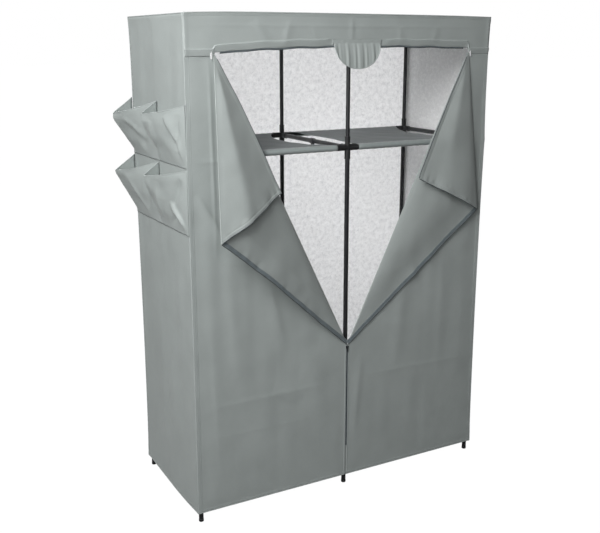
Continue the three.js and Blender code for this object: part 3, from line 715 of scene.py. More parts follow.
@dataclass(frozen=True)
class Coating(Finish):
    """Paint or moulded plastic: an even colour with a fine orange peel and scuffed places."""

    colour: tuple[float, float, float] = (0.012, 0.0125, 0.014)
    roughness: float = 0.32
    metallic: float = 0.0
    peel: float = 900.0
    depth: float = 0.00006
    scuff: float = 0.12

    def build(self, nodes: NodeTree) -> bpy.types.Material:
        """Builds the node tree on object coordinates.

        Args:
            nodes: an empty node tree.

        Returns:
            The material.
        """
        place = nodes.add("TexCoord").outputs["Object"]
        peel = nodes.add("TexNoise", {"Vector": place, "Scale": self.peel, "Detail": 2.0})
        scuff = nodes.add("TexNoise", {"Vector": place, "Scale": 24.0, "Detail": 6.0, "Roughness": 0.7})
        rough = nodes.add(
            "MapRange",
            {"Value": scuff.outputs[0], 1: 0.35, 2: 0.7, 3: self.roughness, 4: self.roughness + self.scuff},
        )
        colour = nodes.ramp(scuff.outputs[0], [(0.45, self.colour), (0.8, tint(self.colour, 1.5))])
        shader = nodes.add(
            "BsdfPrincipled",
            {
                "Base Color": colour,
                "Roughness": rough.outputs[0],
                "Metallic": self.metallic,
                "Normal": nodes.bump(peel.outputs[0], 0.35, self.depth),
            },
        )
        return nodes.finish(shader)


COVER = CoatedCloth("cover_cloth_grey", "cover_cloth")
DOOR = CoatedCloth("door_cloth_grey", "door_cloth")
# Painted shade: the shelf's top is a much darker copy of the cloth of its sleeves, standing in for the shade
# inside the wardrobe.
SHADED_SHELF_CLOTH = CoatedCloth(
    "shelf_cloth_grey", "shelf_cloth", colour=(0.13, 0.148, 0.152), clouds=0.08, roughness=0.7
)
SLEEVE_CLOTH = CoatedCloth("shelf_sleeve_grey", "shelf_cloth", colour=(0.29, 0.325, 0.32), clouds=0.05)
BACK_CLOTH = CoatedCloth("back_cloth_grey", "cover_lining", colour=(0.42, 0.455, 0.447), glow=0.75)
LINING = FibreLining("cover_lining_pale", "cover_lining")
# Painted light: a whiter copy of the lining, with paler flecks and no light let through, for the side panels'
# inner faces; its colour stands in for light that comes through the side cloth from outside.
LIT_SIDE_LINING = FibreLining(
    "side_lining_pale", "cover_lining", pale=(1.0, 1.0, 1.0), fleck=(0.86, 0.865, 0.88), glow=0.0
)
PIPING = CoatedCloth("seam_piping_grey", "cover_cloth", colour=(0.385, 0.42, 0.412), clouds=0.03)
TAPE = ZipWeave("zip_tape_slate", "door_cloth", colour=(0.15, 0.182, 0.195))
COIL = ZipWeave("zip_coil_slate", "door_cloth", colour=(0.05, 0.06, 0.068), roughness=0.4)
THREAD = ZipWeave("sewing_thread_grey", "cover_cloth", colour=(0.3, 0.33, 0.33), roughness=0.7)
TUBE = Coating("tube_powder_coat", "frame_tube")
MOULDING = Coating(
    "connector_plastic", "connector", colour=(0.011, 0.0115, 0.012), roughness=0.42, depth=0.0001
)
ZIP_SILVER = Coating(
    "zip_silver", "zip_metal", colour=(0.92, 0.925, 0.93), roughness=0.3, metallic=0.15, depth=0.00002
)
ZIP_SLATE = Coating(
    "zip_slate", "zip_metal", colour=(0.045, 0.05, 0.052), roughness=0.36, metallic=0.3, depth=0.00002
)


def middle(node: str, axis: int) -> float:
    """Middle of a node's box along an axis."""
    low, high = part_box(node)
    return (low[axis] + high[axis]) / 2


@dataclass
class CoverFrame:
    """Places of the sewn cover, read from the frame, and the relief that its panels share."""

    waist: float = 0.0035
    top_rise: float = 0.0052
    droop: float = 0.008
    left: float = field(init=False)
    right: float = field(init=False)
    front: float = field(init=False)
    back: float = field(init=False)
    top: float = field(init=False)
    hem: float = field(init=False)
    zip_line: float = field(init=False)
    corner_x: float = field(init=False)
    open_end: float = field(init=False)
    post_depth: float = field(init=False)
    post_x: float = field(init=False)
    base_level: float = field(init=False)
    shelf_level: float = field(init=False)
    rail_top: float = field(init=False)

    def __post_init__(self) -> None:
        """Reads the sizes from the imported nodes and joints."""
        low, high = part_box("cover_top")
        self.left, self.right = low.x, high.x
        self.front, self.back, self.top = low.y, high.y, high.z
        self.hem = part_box("cover_back")[0].z
        hinge = JOINTS["right_door_fold"]
        self.corner_x, _, self.zip_line = hinge["pos_m"]
        self.open_end = self.zip_line - self.corner_x * abs(hinge["axis"][2] / hinge["axis"][0])
        self.post_x = middle("shelf_rail_depth_right", 0)
        self.post_depth = middle("shelf_rail_back_left", 1)
        self.base_level = middle("base_rail_depth_middle", 2)
        self.shelf_level = middle("shelf_rail_depth_left", 2)
        self.rail_top = middle("top_rail_depth_middle", 2)
        log.info("cover %.3f wide, %.3f high", self.right - self.left, self.top)

    def draw_in(self, z: Array) -> Array:
        """How far the corners are drawn in between the levels that hold them: a flat-topped half sine.

        Args:
            z: heights.

        Returns:
            Distances.
        """
        lower = np.sin(np.pi * np.clip((z - self.base_level) / (self.shelf_level - self.base_level), 0, 1))
        upper = np.sin(np.pi * np.clip((z - self.shelf_level) / (self.rail_top - self.shelf_level), 0, 1))
        return self.waist * (np.sqrt(lower) + 0.9 * np.sqrt(upper))

    def rise(self, x: Array) -> Array:
        """How far the top front edge stands above its corners: a flat arch, highest left of the middle."""
        share = np.clip(x / self.right, -1.0, 1.0)
        return self.top_rise * (1.0 - np.abs(share) ** 5) * (0.72 - 0.28 * share)

    def arch(self, x: Array) -> Array:
        """How far the zip line above the opening stands over its left end: it climbs to the middle.

        Args:
            x: places along the opening.

        Returns:
            Heights.
        """
        share = np.clip((x + self.corner_x) / (2.0 * self.corner_x), 0.0, 1.0)
        hump = (0.020 - 0.013 * share) * np.sin(np.pi * share) ** 0.75
        waves = 0.0012 * np.sin(share * 47.0) * smooth(share * 6.0) * smooth((1.0 - share) * 6.0)
        return 0.003 + 0.012 * smooth(share) + hump + waves


def rotated(vector: Array, axis: Array, angle: float) -> Array:
    """A vector turned about a unit axis: Rodrigues' formula."""
    turned = vector * math.cos(angle) + np.cross(axis, vector) * math.sin(angle)
    return turned + axis * (axis @ vector) * (1.0 - math.cos(angle))


def mesh_grid(rows: Array, columns: Array) -> tuple[Array, Array]:
    """Two coordinate grids, rows by columns, from two lists of values."""
    return tuple(np.meshgrid(rows, columns, indexing="ij"))


def together(x: Array, y: Array, z: Array) -> Array:
    """Places from three coordinates, spread to one shape."""
    return np.stack(np.broadcast_arrays(x, y, z), axis=-1)


def band(value: Array, start: float, end: float, soft: float = 0.0008) -> Array:
    """One between start and end and zero outside, with soft steps."""
    return smooth((value - start) / soft + 0.5) * (1.0 - smooth((value - end) / soft + 0.5))


@dataclass(frozen=True)
class Bead:
    """A round bead: half its width, how far its centre stands off the cloth, its height as a share
    of its width, its finish, and the spacing of ribs around it, or zero for a plain bead."""

    radius: float
    lift: float
    flatten: float = 0.8
    finish: Finish = PIPING
    ribs: float = 0.0

    def lay(self, name: str, surface: Surface, a: Array, b: Array, body: str = ROOT) -> bpy.types.Object:
        """Sweeps the bead along a path on a surface; ribs swell and shrink it four points a rib.

        Args:
            name: the piece's name.
            surface: the surface.
            a: first coordinates of the path.
            b: second coordinates of the path.
            body: the body that the bead rides on.

        Returns:
            The piece.
        """
        a, b = np.broadcast_arrays(np.asarray(a, float), np.asarray(b, float))
        places, normals = surface.lifted(a, b, self.lift), surface.normal(a, b)
        path, index = resample(places, self.ribs / 4.0 if self.ribs else 0.006)
        scale = 0.86 + 0.14 * np.cos(np.arange(len(path)) * (np.pi / 2.0)) if self.ribs else None
        section = round_section(self.radius, 10, self.flatten)
        return dress(sweep(name, path, along(normals, index), section, scale), self.finish, body)


CORNER_PIPING = Bead(0.0018, -0.0009, 0.9)
HEM_PIPING = Bead(0.0017, -0.0003)
TOP_PIPING = Bead(0.0021, -0.001)
BAND_PIPING = Bead(0.0022, -0.0006)
TAB_BINDING = Bead(0.0018, -0.0004)
MOUTH_BINDING = Bead(0.0016, -0.0004)
OPENING_COIL = Bead(0.0013, -0.0016, 0.8, COIL, 0.0024)
MIDDLE_COIL = Bead(0.0012, 0.0003, 0.9, COIL, 0.0026)
FLAP_COIL = Bead(0.0016, 0.0002, 0.9, COIL, 0.0026)
CORNER_COIL = Bead(0.0016, -0.0007, 0.9, COIL, 0.0026)
STITCHING = Stitching()


def stitch(
    name: str, surface: Surface, a: Array, b: Array, lift: float = 0.0, body: str = ROOT
) -> bpy.types.Object:
    """A row of stitches along a path on a surface, on its far face where the lift is negative.

    Args:
        name: the piece's name.
        surface: the surface.
        a: first coordinates of the path.
        b: second coordinates of the path.
        lift: how far the row stands off the surface.
        body: the body that it rides on.

    Returns:
        The piece.
    """
    a, b = np.broadcast_arrays(np.asarray(a, float), np.asarray(b, float))
    normals = surface.normal(a, b) * (1.0 if lift >= 0.0 else -1.0)
    return STITCHING.row(name, surface.lifted(a, b, lift), normals, THREAD, body)


@dataclass
class SewnCover:
    """The fixed panels of the cover: top, back, sides, the band over the opening and the front."""

    cover: CoverFrame
    seam_allowance: float = 0.0135
    hem_height: float = 0.012
    hem_raise: float = 0.0007
    groove: float = 0.0005
    groove_width: float = 0.0013
    pull_reach: float = 0.085
    slit: float = 0.0006
    edge: float = 0.001
    run_end: float = 0.004
    seam_start: float = 0.014
    zip_end: float = 0.022
    piping_inset: float = 0.0006
    valance_hem: float = 0.021
    hem_fold: float = 0.0040
    binding: float = 0.010
    strip_top: float = 1.549
    zip_stop: float = 0.155
    front_creases: dict[Side, list[Crease]] = field(
        default_factory=lambda: {
            Side.LEFT: [
                Crease((-0.560, 1.130), (-0.455, 0.960), 0.0045, 0.016, 0.3),
                Crease((-0.580, 1.235), (-0.395, 1.228), 0.0018, 0.005, 0.3),
                Crease((-0.505, 1.560), (-0.494, 0.900), 0.0020, 0.007),
                Crease((-0.585, 0.905), (-0.330, 0.900), 0.0009, 0.005),
                Crease((-0.585, 0.410), (-0.010, 0.418), 0.0010, 0.010, 0.4),
                Crease((-0.585, 0.300), (-0.100, 0.296), 0.0006, 0.006),
                Crease((-0.330, 0.880), (-0.250, 0.560), 0.0040, 0.028, 0.3),
                Crease((-0.455, 0.900), (-0.420, 0.430), 0.0028, 0.024),
                Crease((-0.150, 0.560), (-0.090, 0.250), 0.0024, 0.034),
                Crease((-0.520, 0.720), (-0.500, 0.160), 0.0014, 0.018, -0.3),
                Crease((-0.300, 0.430), (-0.180, 0.380), 0.0020, 0.022),
            ],
            Side.RIGHT: [
                Crease((0.010, 0.418), (0.585, 0.410), 0.0010, 0.010, 0.4),
                Crease((0.400, 1.236), (0.580, 1.236), 0.0012, 0.005),
                Crease((0.060, 0.500), (0.030, 0.200), 0.0030, 0.022, 0.3),
                Crease((0.250, 0.900), (0.210, 0.400), 0.0034, 0.030),
                Crease((0.420, 0.860), (0.400, 0.300), 0.0026, 0.028),
                Crease((0.540, 1.450), (0.530, 0.850), 0.0020, 0.016),
                Crease((0.120, 0.620), (0.330, 0.560), 0.0016, 0.020),
            ],
        }
    )

    def opening_edge(self, z: Array) -> Array:
        """Distance from the middle to the edge of a front panel: a slope over the open end of the zip,
        and next to nothing under it.

        Args:
            z: heights.

        Returns:
            Distances.
        """
        c = self.cover
        share = np.clip((z - c.open_end) / (c.zip_line - c.open_end), 0.0, 1.0)
        return np.maximum(c.corner_x * share, self.slit)

    def sunk(self, distance: Array) -> Array:
        """Depth of the furrow that a row of stitches pulls into the cloth, at a distance from it."""
        return self.groove * np.exp(-((distance / self.groove_width) ** 2))

    def corner_pull(self, across: Array) -> Array:
        """Share of the draw-in at a distance from the middle of a panel's near corner: one at it."""
        return smooth(1.0 - across / self.pull_reach)

    def front(self, side: Side) -> Surface:
        """A front panel's face over (x, z): corners drawn in, vertical slackness, hem and seams.

        Args:
            side: the panel's side.

        Returns:
            The face.
        """
        c, s, creases = self.cover, side.value, self.front_creases[side]

        def place(x: Array, z: Array) -> Array:
            """The cloth: drawn-in corners, slackness, creases, then seams and hem raised.

            Args:
                x: places across.
                z: heights.

            Returns:
                Places.
            """
            out = np.abs(x)
            edge = self.opening_edge(z)
            from_corner, from_edge = c.right - out, out - edge
            pull = self.corner_pull(from_corner) * c.draw_in(z)
            slack = 0.0009 * uneven(x, z, 0.07, 3) + 0.0011 * uneven(x * 4.0, z * 0.6, 0.16, 5)
            slack = slack + relief_of(creases, x, z)
            calm = smooth(from_edge / 0.045) * smooth(from_corner / 0.02) * smooth((z - c.hem) / 0.05)
            raised = self.hem_raise * band(from_corner, -0.01, self.seam_allowance)
            raised = raised + self.hem_raise * band(z, c.hem - 0.01, c.hem + self.hem_height)
            below = smooth((c.open_end + 0.01 - z) / 0.02)
            raised = raised + 0.0007 * below * band(out, 0.0028, 0.0085)
            raised = raised - self.sunk(from_corner - self.seam_allowance + 0.0025)
            raised = raised - self.sunk(z - c.hem - self.hem_height + 0.002)
            y = c.front + 0.9 * pull - slack * calm - raised
            return together(x - s * pull, y, z)

        return Surface(place, -Y_AXIS)

    def side(self, side: Side) -> Surface:
        """A side panel's face over (y, z): drawn in at both corners and slack between the levels.

        Args:
            side: the panel's side.

        Returns:
            The face.
        """
        c, s = self.cover, side.value
        seed = 11 if side is Side.LEFT else 17

        def place(y: Array, z: Array) -> Array:
            """The cloth: drawn in and hollow by its corners, slack between, its hem hanging.

            Args:
                y: places in depth.
                z: heights.

            Returns:
                Places.
            """
            near = np.minimum(y - c.front, c.back - y)
            pull = c.draw_in(z)
            slack = 0.0016 * uneven(y * 3.6, z * 0.5, 0.18, seed) + 0.0009 * uneven(y, z, 0.08, seed + 1)
            hollow = 0.5 * pull * smooth(near / 0.12)
            raised = self.hem_raise * (
                band(near, -0.01, self.seam_allowance) + band(z, c.hem - 0.01, c.hem + self.hem_height)
            )
            calm = smooth(near / 0.03) * smooth((z - c.hem) / 0.05) * smooth((c.top - z) / 0.03)
            x = s * (c.right - pull - hollow + slack * calm + raised)
            middle = (c.front + c.back) / 2.0
            toward = np.sign(y - middle) * 0.9 * pull * self.corner_pull(near)
            share = np.clip((c.back - y) / (c.back - c.front), 0.0, 1.0)
            hang = c.droop * np.sin(np.pi * share**1.6) * smooth((c.hem + 0.12 - z) / 0.12)
            return together(x, y - toward, z - hang)

        return Surface(place, s * X_AXIS)

    def back(self) -> Surface:
        """The back panel's face over (x, z).

        Returns:
            The face.
        """
        c = self.cover

        def place(x: Array, z: Array) -> Array:
            """The cloth: drawn-in corners, slackness and a raised hem.

            Args:
                x: places across.
                z: heights.

            Returns:
                Places.
            """
            from_corner = c.right - np.abs(x)
            pull = self.corner_pull(from_corner) * c.draw_in(z)
            slack = 0.0016 * uneven(x * 3.0, z * 0.5, 0.2, 23) + 0.0008 * uneven(x, z, 0.09, 24)
            calm = smooth(from_corner / 0.03) * smooth((z - c.hem) / 0.05) * smooth((c.top - z) / 0.03)
            raised = self.hem_raise * band(z, c.hem - 0.01, c.hem + self.hem_height)
            y = c.back - 0.9 * pull + slack * calm + raised
            return together(x - np.sign(x) * pull, y, z)

        return Surface(place, Y_AXIS)

    def top(self) -> Surface:
        """The top's face over (x, y): it rests on the rails and sags in both bays.

        Returns:
            The face.
        """
        c = self.cover

        def place(x: Array, y: Array) -> Array:
            """The cloth: a sag in each bay, ripples, and an arched front edge.

            Args:
                x: places across.
                y: places in depth.

            Returns:
                Places.
            """
            across = np.abs(np.abs(x) - c.post_x / 2.0) / (c.post_x / 2.0)
            deep = (y - c.post_depth / 2.0) / (c.post_depth / 2.0)
            bay = np.clip(1.0 - across**2, 0.0, 1.0) * np.clip(1.0 - deep**2, 0.0, 1.0)
            ripples = 0.0012 * uneven(x, y, 0.09, 31) + 0.0008 * uneven(x, y, 0.035, 32)
            z = c.top - 0.009 * bay**0.8 + ripples * smooth(bay * 3.0)
            z = z + c.rise(x) * smooth(1.0 - (y - c.front) / 0.16)
            return together(x, y, z)

        return Surface(place, Z_AXIS)

    def valance_edge(self, x: Array) -> Array:
        """Height of the lower edge of the band over the opening.

        Args:
            x: places along the band.

        Returns:
            Heights.
        """
        c = self.cover
        inside = smooth((c.corner_x + 0.004 - np.abs(x)) / 0.010)
        return self.strip_top * (1.0 - inside) + (c.zip_line - 0.002 + c.arch(x)) * inside

    def valance(self) -> Surface:
        """The band over the opening, over (x, share up from its lower edge).

        Returns:
            The face.
        """
        c = self.cover
        creases = [
            Crease((0.004, 1.69), (0.004, 1.575), 0.0016, 0.009, 0.2),
            Crease((-0.355, 1.655), (-0.300, 1.590), 0.0022, 0.016),
            Crease((-0.225, 1.660), (-0.250, 1.575), 0.0018, 0.012, -0.2),
            Crease((-0.150, 1.640), (-0.120, 1.580), 0.0012, 0.012),
            Crease((0.190, 1.640), (0.200, 1.580), 0.0016, 0.014),
            Crease((0.350, 1.650), (0.330, 1.580), 0.0014, 0.014),
            Crease((-0.585, 1.640), (0.585, 1.640), 0.0009, 0.006),
        ]
        tab_low, tab_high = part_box("half_round_tab")
        tab_half, tab_middle = (tab_high.x - tab_low.x) / 2.0, (tab_high.x + tab_low.x) / 2.0

        def place(x: Array, share: Array) -> Array:
            """The cloth: slackness and creases, a folded hem that lifts it, and a lip.

            Args:
                x: places across.
                share: shares up from the lower edge.

            Returns:
                Places.
            """
            low = self.valance_edge(x)
            high = c.top + c.rise(x)
            z = low + (high - low) * share
            from_corner = c.right - np.abs(x)
            pull = self.corner_pull(from_corner) * c.draw_in(z)
            slack = 0.0008 * uneven(x, z * 1.4, 0.06, 41) + relief_of(creases, x, z)
            calm = smooth(from_corner / 0.03) * smooth((high - z) / 0.03)
            up = z - low
            hem = band(up, -0.01, self.valance_hem, 0.0024)
            raised = self.hem_raise * (
                band(high - z, -0.01, self.binding) + band(from_corner, -0.01, self.seam_allowance)
            )
            beside_tab = 1.0 - smooth((tab_half + 0.035 - np.abs(x - tab_middle)) / 0.03)
            raised = raised + hem * (up / self.valance_hem) * self.hem_fold * beside_tab
            raised = raised - self.sunk(up - self.valance_hem + 0.002) - self.sunk(up - 0.0022)
            raised = raised - self.sunk(high - z - self.binding + 0.002)
            lip = 0.0012 * np.exp(-((up / 0.003) ** 2)) * uneven(x, z, 0.03, 43)
            y = c.front - 0.0009 + 0.9 * pull - slack * calm - raised - lip
            return together(x - np.sign(x) * pull, y, z)

        return Surface(place, -Y_AXIS, lambda x, share: (x, share * (c.top - self.strip_top)))

    def front_grid(self, side: Side) -> tuple[Array, Array]:
        """Grid of a front panel: fixed columns near the corner and near the edge, stretched between.

        Args:
            side: the panel's side.

        Returns:
            Its places and heights.
        """
        c = self.cover
        z = steps(c.hem, c.zip_line - 0.001, 0.0065, (c.hem + self.hem_height,))
        lead = steps(0.0, 0.02, 0.0025, (self.seam_allowance,), 0.002)
        tail = steps(0.012, 0.0, 0.0015, (0.0028, 0.0085), 0.001)
        middle = np.linspace(0.0, 1.0, 100)[1:-1]
        edge = self.opening_edge(z)[:, None]
        near, far = c.right - 0.02, edge + 0.012
        inner = near + (far - near) * middle[None, :]
        first = np.broadcast_to(c.right - lead[None, :], (len(z), len(lead)))
        out = np.concatenate([first, inner, edge + tail[None, :]], axis=1)
        return side.value * out, np.broadcast_to(z[:, None], out.shape)

    def build(self) -> None:
        """Makes the panels, their seams, hems and rows of stitches."""
        c = self.cover
        z = steps(c.hem, c.top - 0.0015, 0.008, (c.hem + self.hem_height,))
        for side in Side:
            self.build_front(side)
            self.build_side(side, z)
        across = steps(c.left + self.edge, c.right - self.edge, 0.009)
        deep = steps(c.front + self.edge, c.back - self.edge, 0.009)
        grid = mesh_grid(across, z)
        made = self.back().cloth("back_panel", *grid, [BACK_CLOTH, LINING], replaces=("cover_back",))
        grid = mesh_grid(across, deep)
        made = self.top().cloth("top_panel", *grid, [COVER, LINING], replaces=("cover_top",))
        self.build_valance()
        self.build_edges()

    def build_front(self, side: Side) -> None:
        """A front panel, its rows of stitches and its half of the closed middle zip.

        Args:
            side: the panel's side.
        """
        c, s, label, panel = self.cover, side.value, side.label, self.front(side)
        grid, node = self.front_grid(side), f"cover_front_{label}"
        made = panel.cloth(f"front_panel_{label}", *grid, [COVER], replaces=(node,))
        low, near_side = c.hem + self.seam_start, s * (c.right - self.run_end)
        seam, stop = s * (c.right - self.seam_allowance + 0.0025), c.open_end - 0.006
        hem_run = steps(s * self.run_end, near_side, 0.01)
        strip_run = steps(s * (c.corner_x + self.run_end), near_side, 0.01)
        rows = {
            f"corner_seam_stitches_{label}": (seam, steps(low, c.zip_line - 0.01, 0.02)),
            f"front_hem_stitches_{label}": (hem_run, c.hem + self.hem_height - 0.002),
            f"middle_zip_stitches_{label}": (s * 0.0070, steps(low, stop, 0.01)),
            f"strip_top_stitches_{label}_0": (strip_run, self.strip_top - 0.006),
            f"strip_top_stitches_{label}_1": (strip_run, self.strip_top - 0.012),
        }
        for name, (x, z) in rows.items():
            stitch(name, panel, x, z)
        closed = steps(self.zip_stop, c.open_end - 0.004, 0.01)
        tape = mesh_grid(s * np.linspace(0.0008, 0.0032, 4), closed)
        panel.cloth(f"middle_zip_tape_{label}", *tape, [TAPE], TAPE_CLOTH, 0.0003)
        MIDDLE_COIL.lay(f"middle_zip_coil_{label}", panel, s * 0.0013, closed)

    def build_side(self, side: Side, z: Array) -> None:
        """A side panel with its rows of stitches.

        Args:
            side: the panel's side.
            z: heights of the panel's rows.
        """
        c, label, flank = self.cover, side.label, self.side(side)
        y = steps(c.front + self.edge, c.back - self.edge, 0.007, (c.front + self.seam_allowance,))
        # The inner faces take the whiter copy of the lining, painted light for the light that comes through the
        # side cloth from outside.
        node, finishes = f"cover_side_{label}", [COVER, LIT_SIDE_LINING]
        made = flank.cloth(f"side_panel_{label}", *mesh_grid(y, z), finishes, replaces=(node,))
        run = steps(c.front + 0.01, c.back - 0.01, 0.01)
        stitch(f"side_hem_stitches_{label}", flank, run, c.hem + self.hem_height - 0.002)
        climb = steps(c.hem + self.seam_start, c.top - 0.02, 0.02)
        for end, y in (("front", c.front + self.seam_allowance - 0.003), ("back", c.back - 0.012)):
            stitch(f"side_seam_stitches_{label}_{end}", flank, y, climb)

    def build_valance(self) -> None:
        """The band over the opening with its rows of stitches and its half of the opening's zip."""
        c, surface = self.cover, self.valance()
        tall = c.top - self.strip_top
        shares = steps(0.0, 0.994, 0.025, (self.valance_hem / tall, 1.0 - self.binding / tall), 0.022)
        across = steps(c.left + 0.0005, c.right - 0.0005, 0.005, (-c.corner_x, c.corner_x))
        made = surface.cloth("front_band", *mesh_grid(across, shares), [COVER], replaces=("cover_valance",))
        run = steps(c.left + self.run_end, c.right - self.run_end, 0.006)
        reach = c.top - self.valance_edge(run)
        rows = {
            "band_hem_stitches_0": 0.0022 / reach,
            "band_hem_stitches_1": (self.valance_hem - 0.002) / reach,
            "band_top_stitches": 1.0 - (self.binding - 0.002) / reach,
        }
        for name, share in rows.items():
            stitch(name, surface, run, share)
        run = steps(-c.corner_x + self.zip_end, c.corner_x - self.zip_end, 0.006)
        x, up = mesh_grid(run, np.linspace(-0.0042, 0.004, 6))
        share = up / (c.top - self.valance_edge(x))
        surface.cloth("opening_zip_tape", x, share, [TAPE], TAPE_CLOTH, -0.0013)
        OPENING_COIL.lay("opening_zip_coil", surface, run, -0.0046 / (c.top - self.valance_edge(run)))

    def build_edges(self) -> None:
        """Piped corners, top edges and hems."""
        c, roof, inset = self.cover, self.top(), self.piping_inset
        z, hem = steps(c.hem, c.top - self.edge, 0.01), c.hem + 0.0012
        y = steps(c.front + self.edge, c.back - self.edge, 0.008)
        for side in Side:
            s, label, flank = side.value, side.label, self.side(side)
            CORNER_PIPING.lay(f"front_corner_piping_{label}", flank, c.front + inset, z)
            CORNER_PIPING.lay(f"back_corner_piping_{label}", flank, c.back - inset, z)
            HEM_PIPING.lay(f"side_hem_piping_{label}", flank, y, hem)
            TOP_PIPING.lay(f"side_top_piping_{label}", roof, s * (c.right - inset), y)
            x = steps(s * self.edge, s * (c.right - self.edge), 0.008)
            HEM_PIPING.lay(f"front_hem_piping_{label}", self.front(side), x, hem)
        x = steps(c.left + self.edge, c.right - self.edge, 0.008)
        BAND_PIPING.lay("front_top_piping", self.valance(), x, 0.9925)
        TOP_PIPING.lay("back_top_piping", roof, x, c.back - inset)
        HEM_PIPING.lay("back_hem_piping", self.back(), x, hem)


@dataclass
class Roll:
    """A fold of a door's cloth: a slim cone of cloth round a joint's axis, from its apex. Start and
    over are the directions out of the axis at its beginning and a quarter turn on."""

    apex: Array
    axis: Array
    start: Array
    over: Array
    turn: float
    radius: Callable[[Array], Array]
    widest: float
    held: str
    turned: str
    lean: float = math.radians(25.0)

    def ring(self, reach: Array) -> Array:
        """Places round the roll: the axis plus the radius times the cosine and sine of the turn.

        Args:
            reach: distances from the apex.

        Returns:
            Rows by turns by 3 places.
        """
        turn = np.linspace(0.0, self.turn, 13)[:-1]
        arm = np.cos(turn)[:, None] * self.start + np.sin(turn)[:, None] * self.over
        centre = self.apex + reach[:, None] * self.axis
        return centre[:, None, :] + self.radius(reach)[:, None, None] * arm[None]

    def blend(self, piece: bpy.types.Object, node: str) -> None:
        """Bakes a piece's place into its mesh and hides the frame's node that it stands for.

        Args:
            piece: the cloth piece.
            node: the frame's node that it stands for.
        """
        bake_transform(piece)
        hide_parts(node)
        log.info("%s turns with %s", piece.name, self.turned)


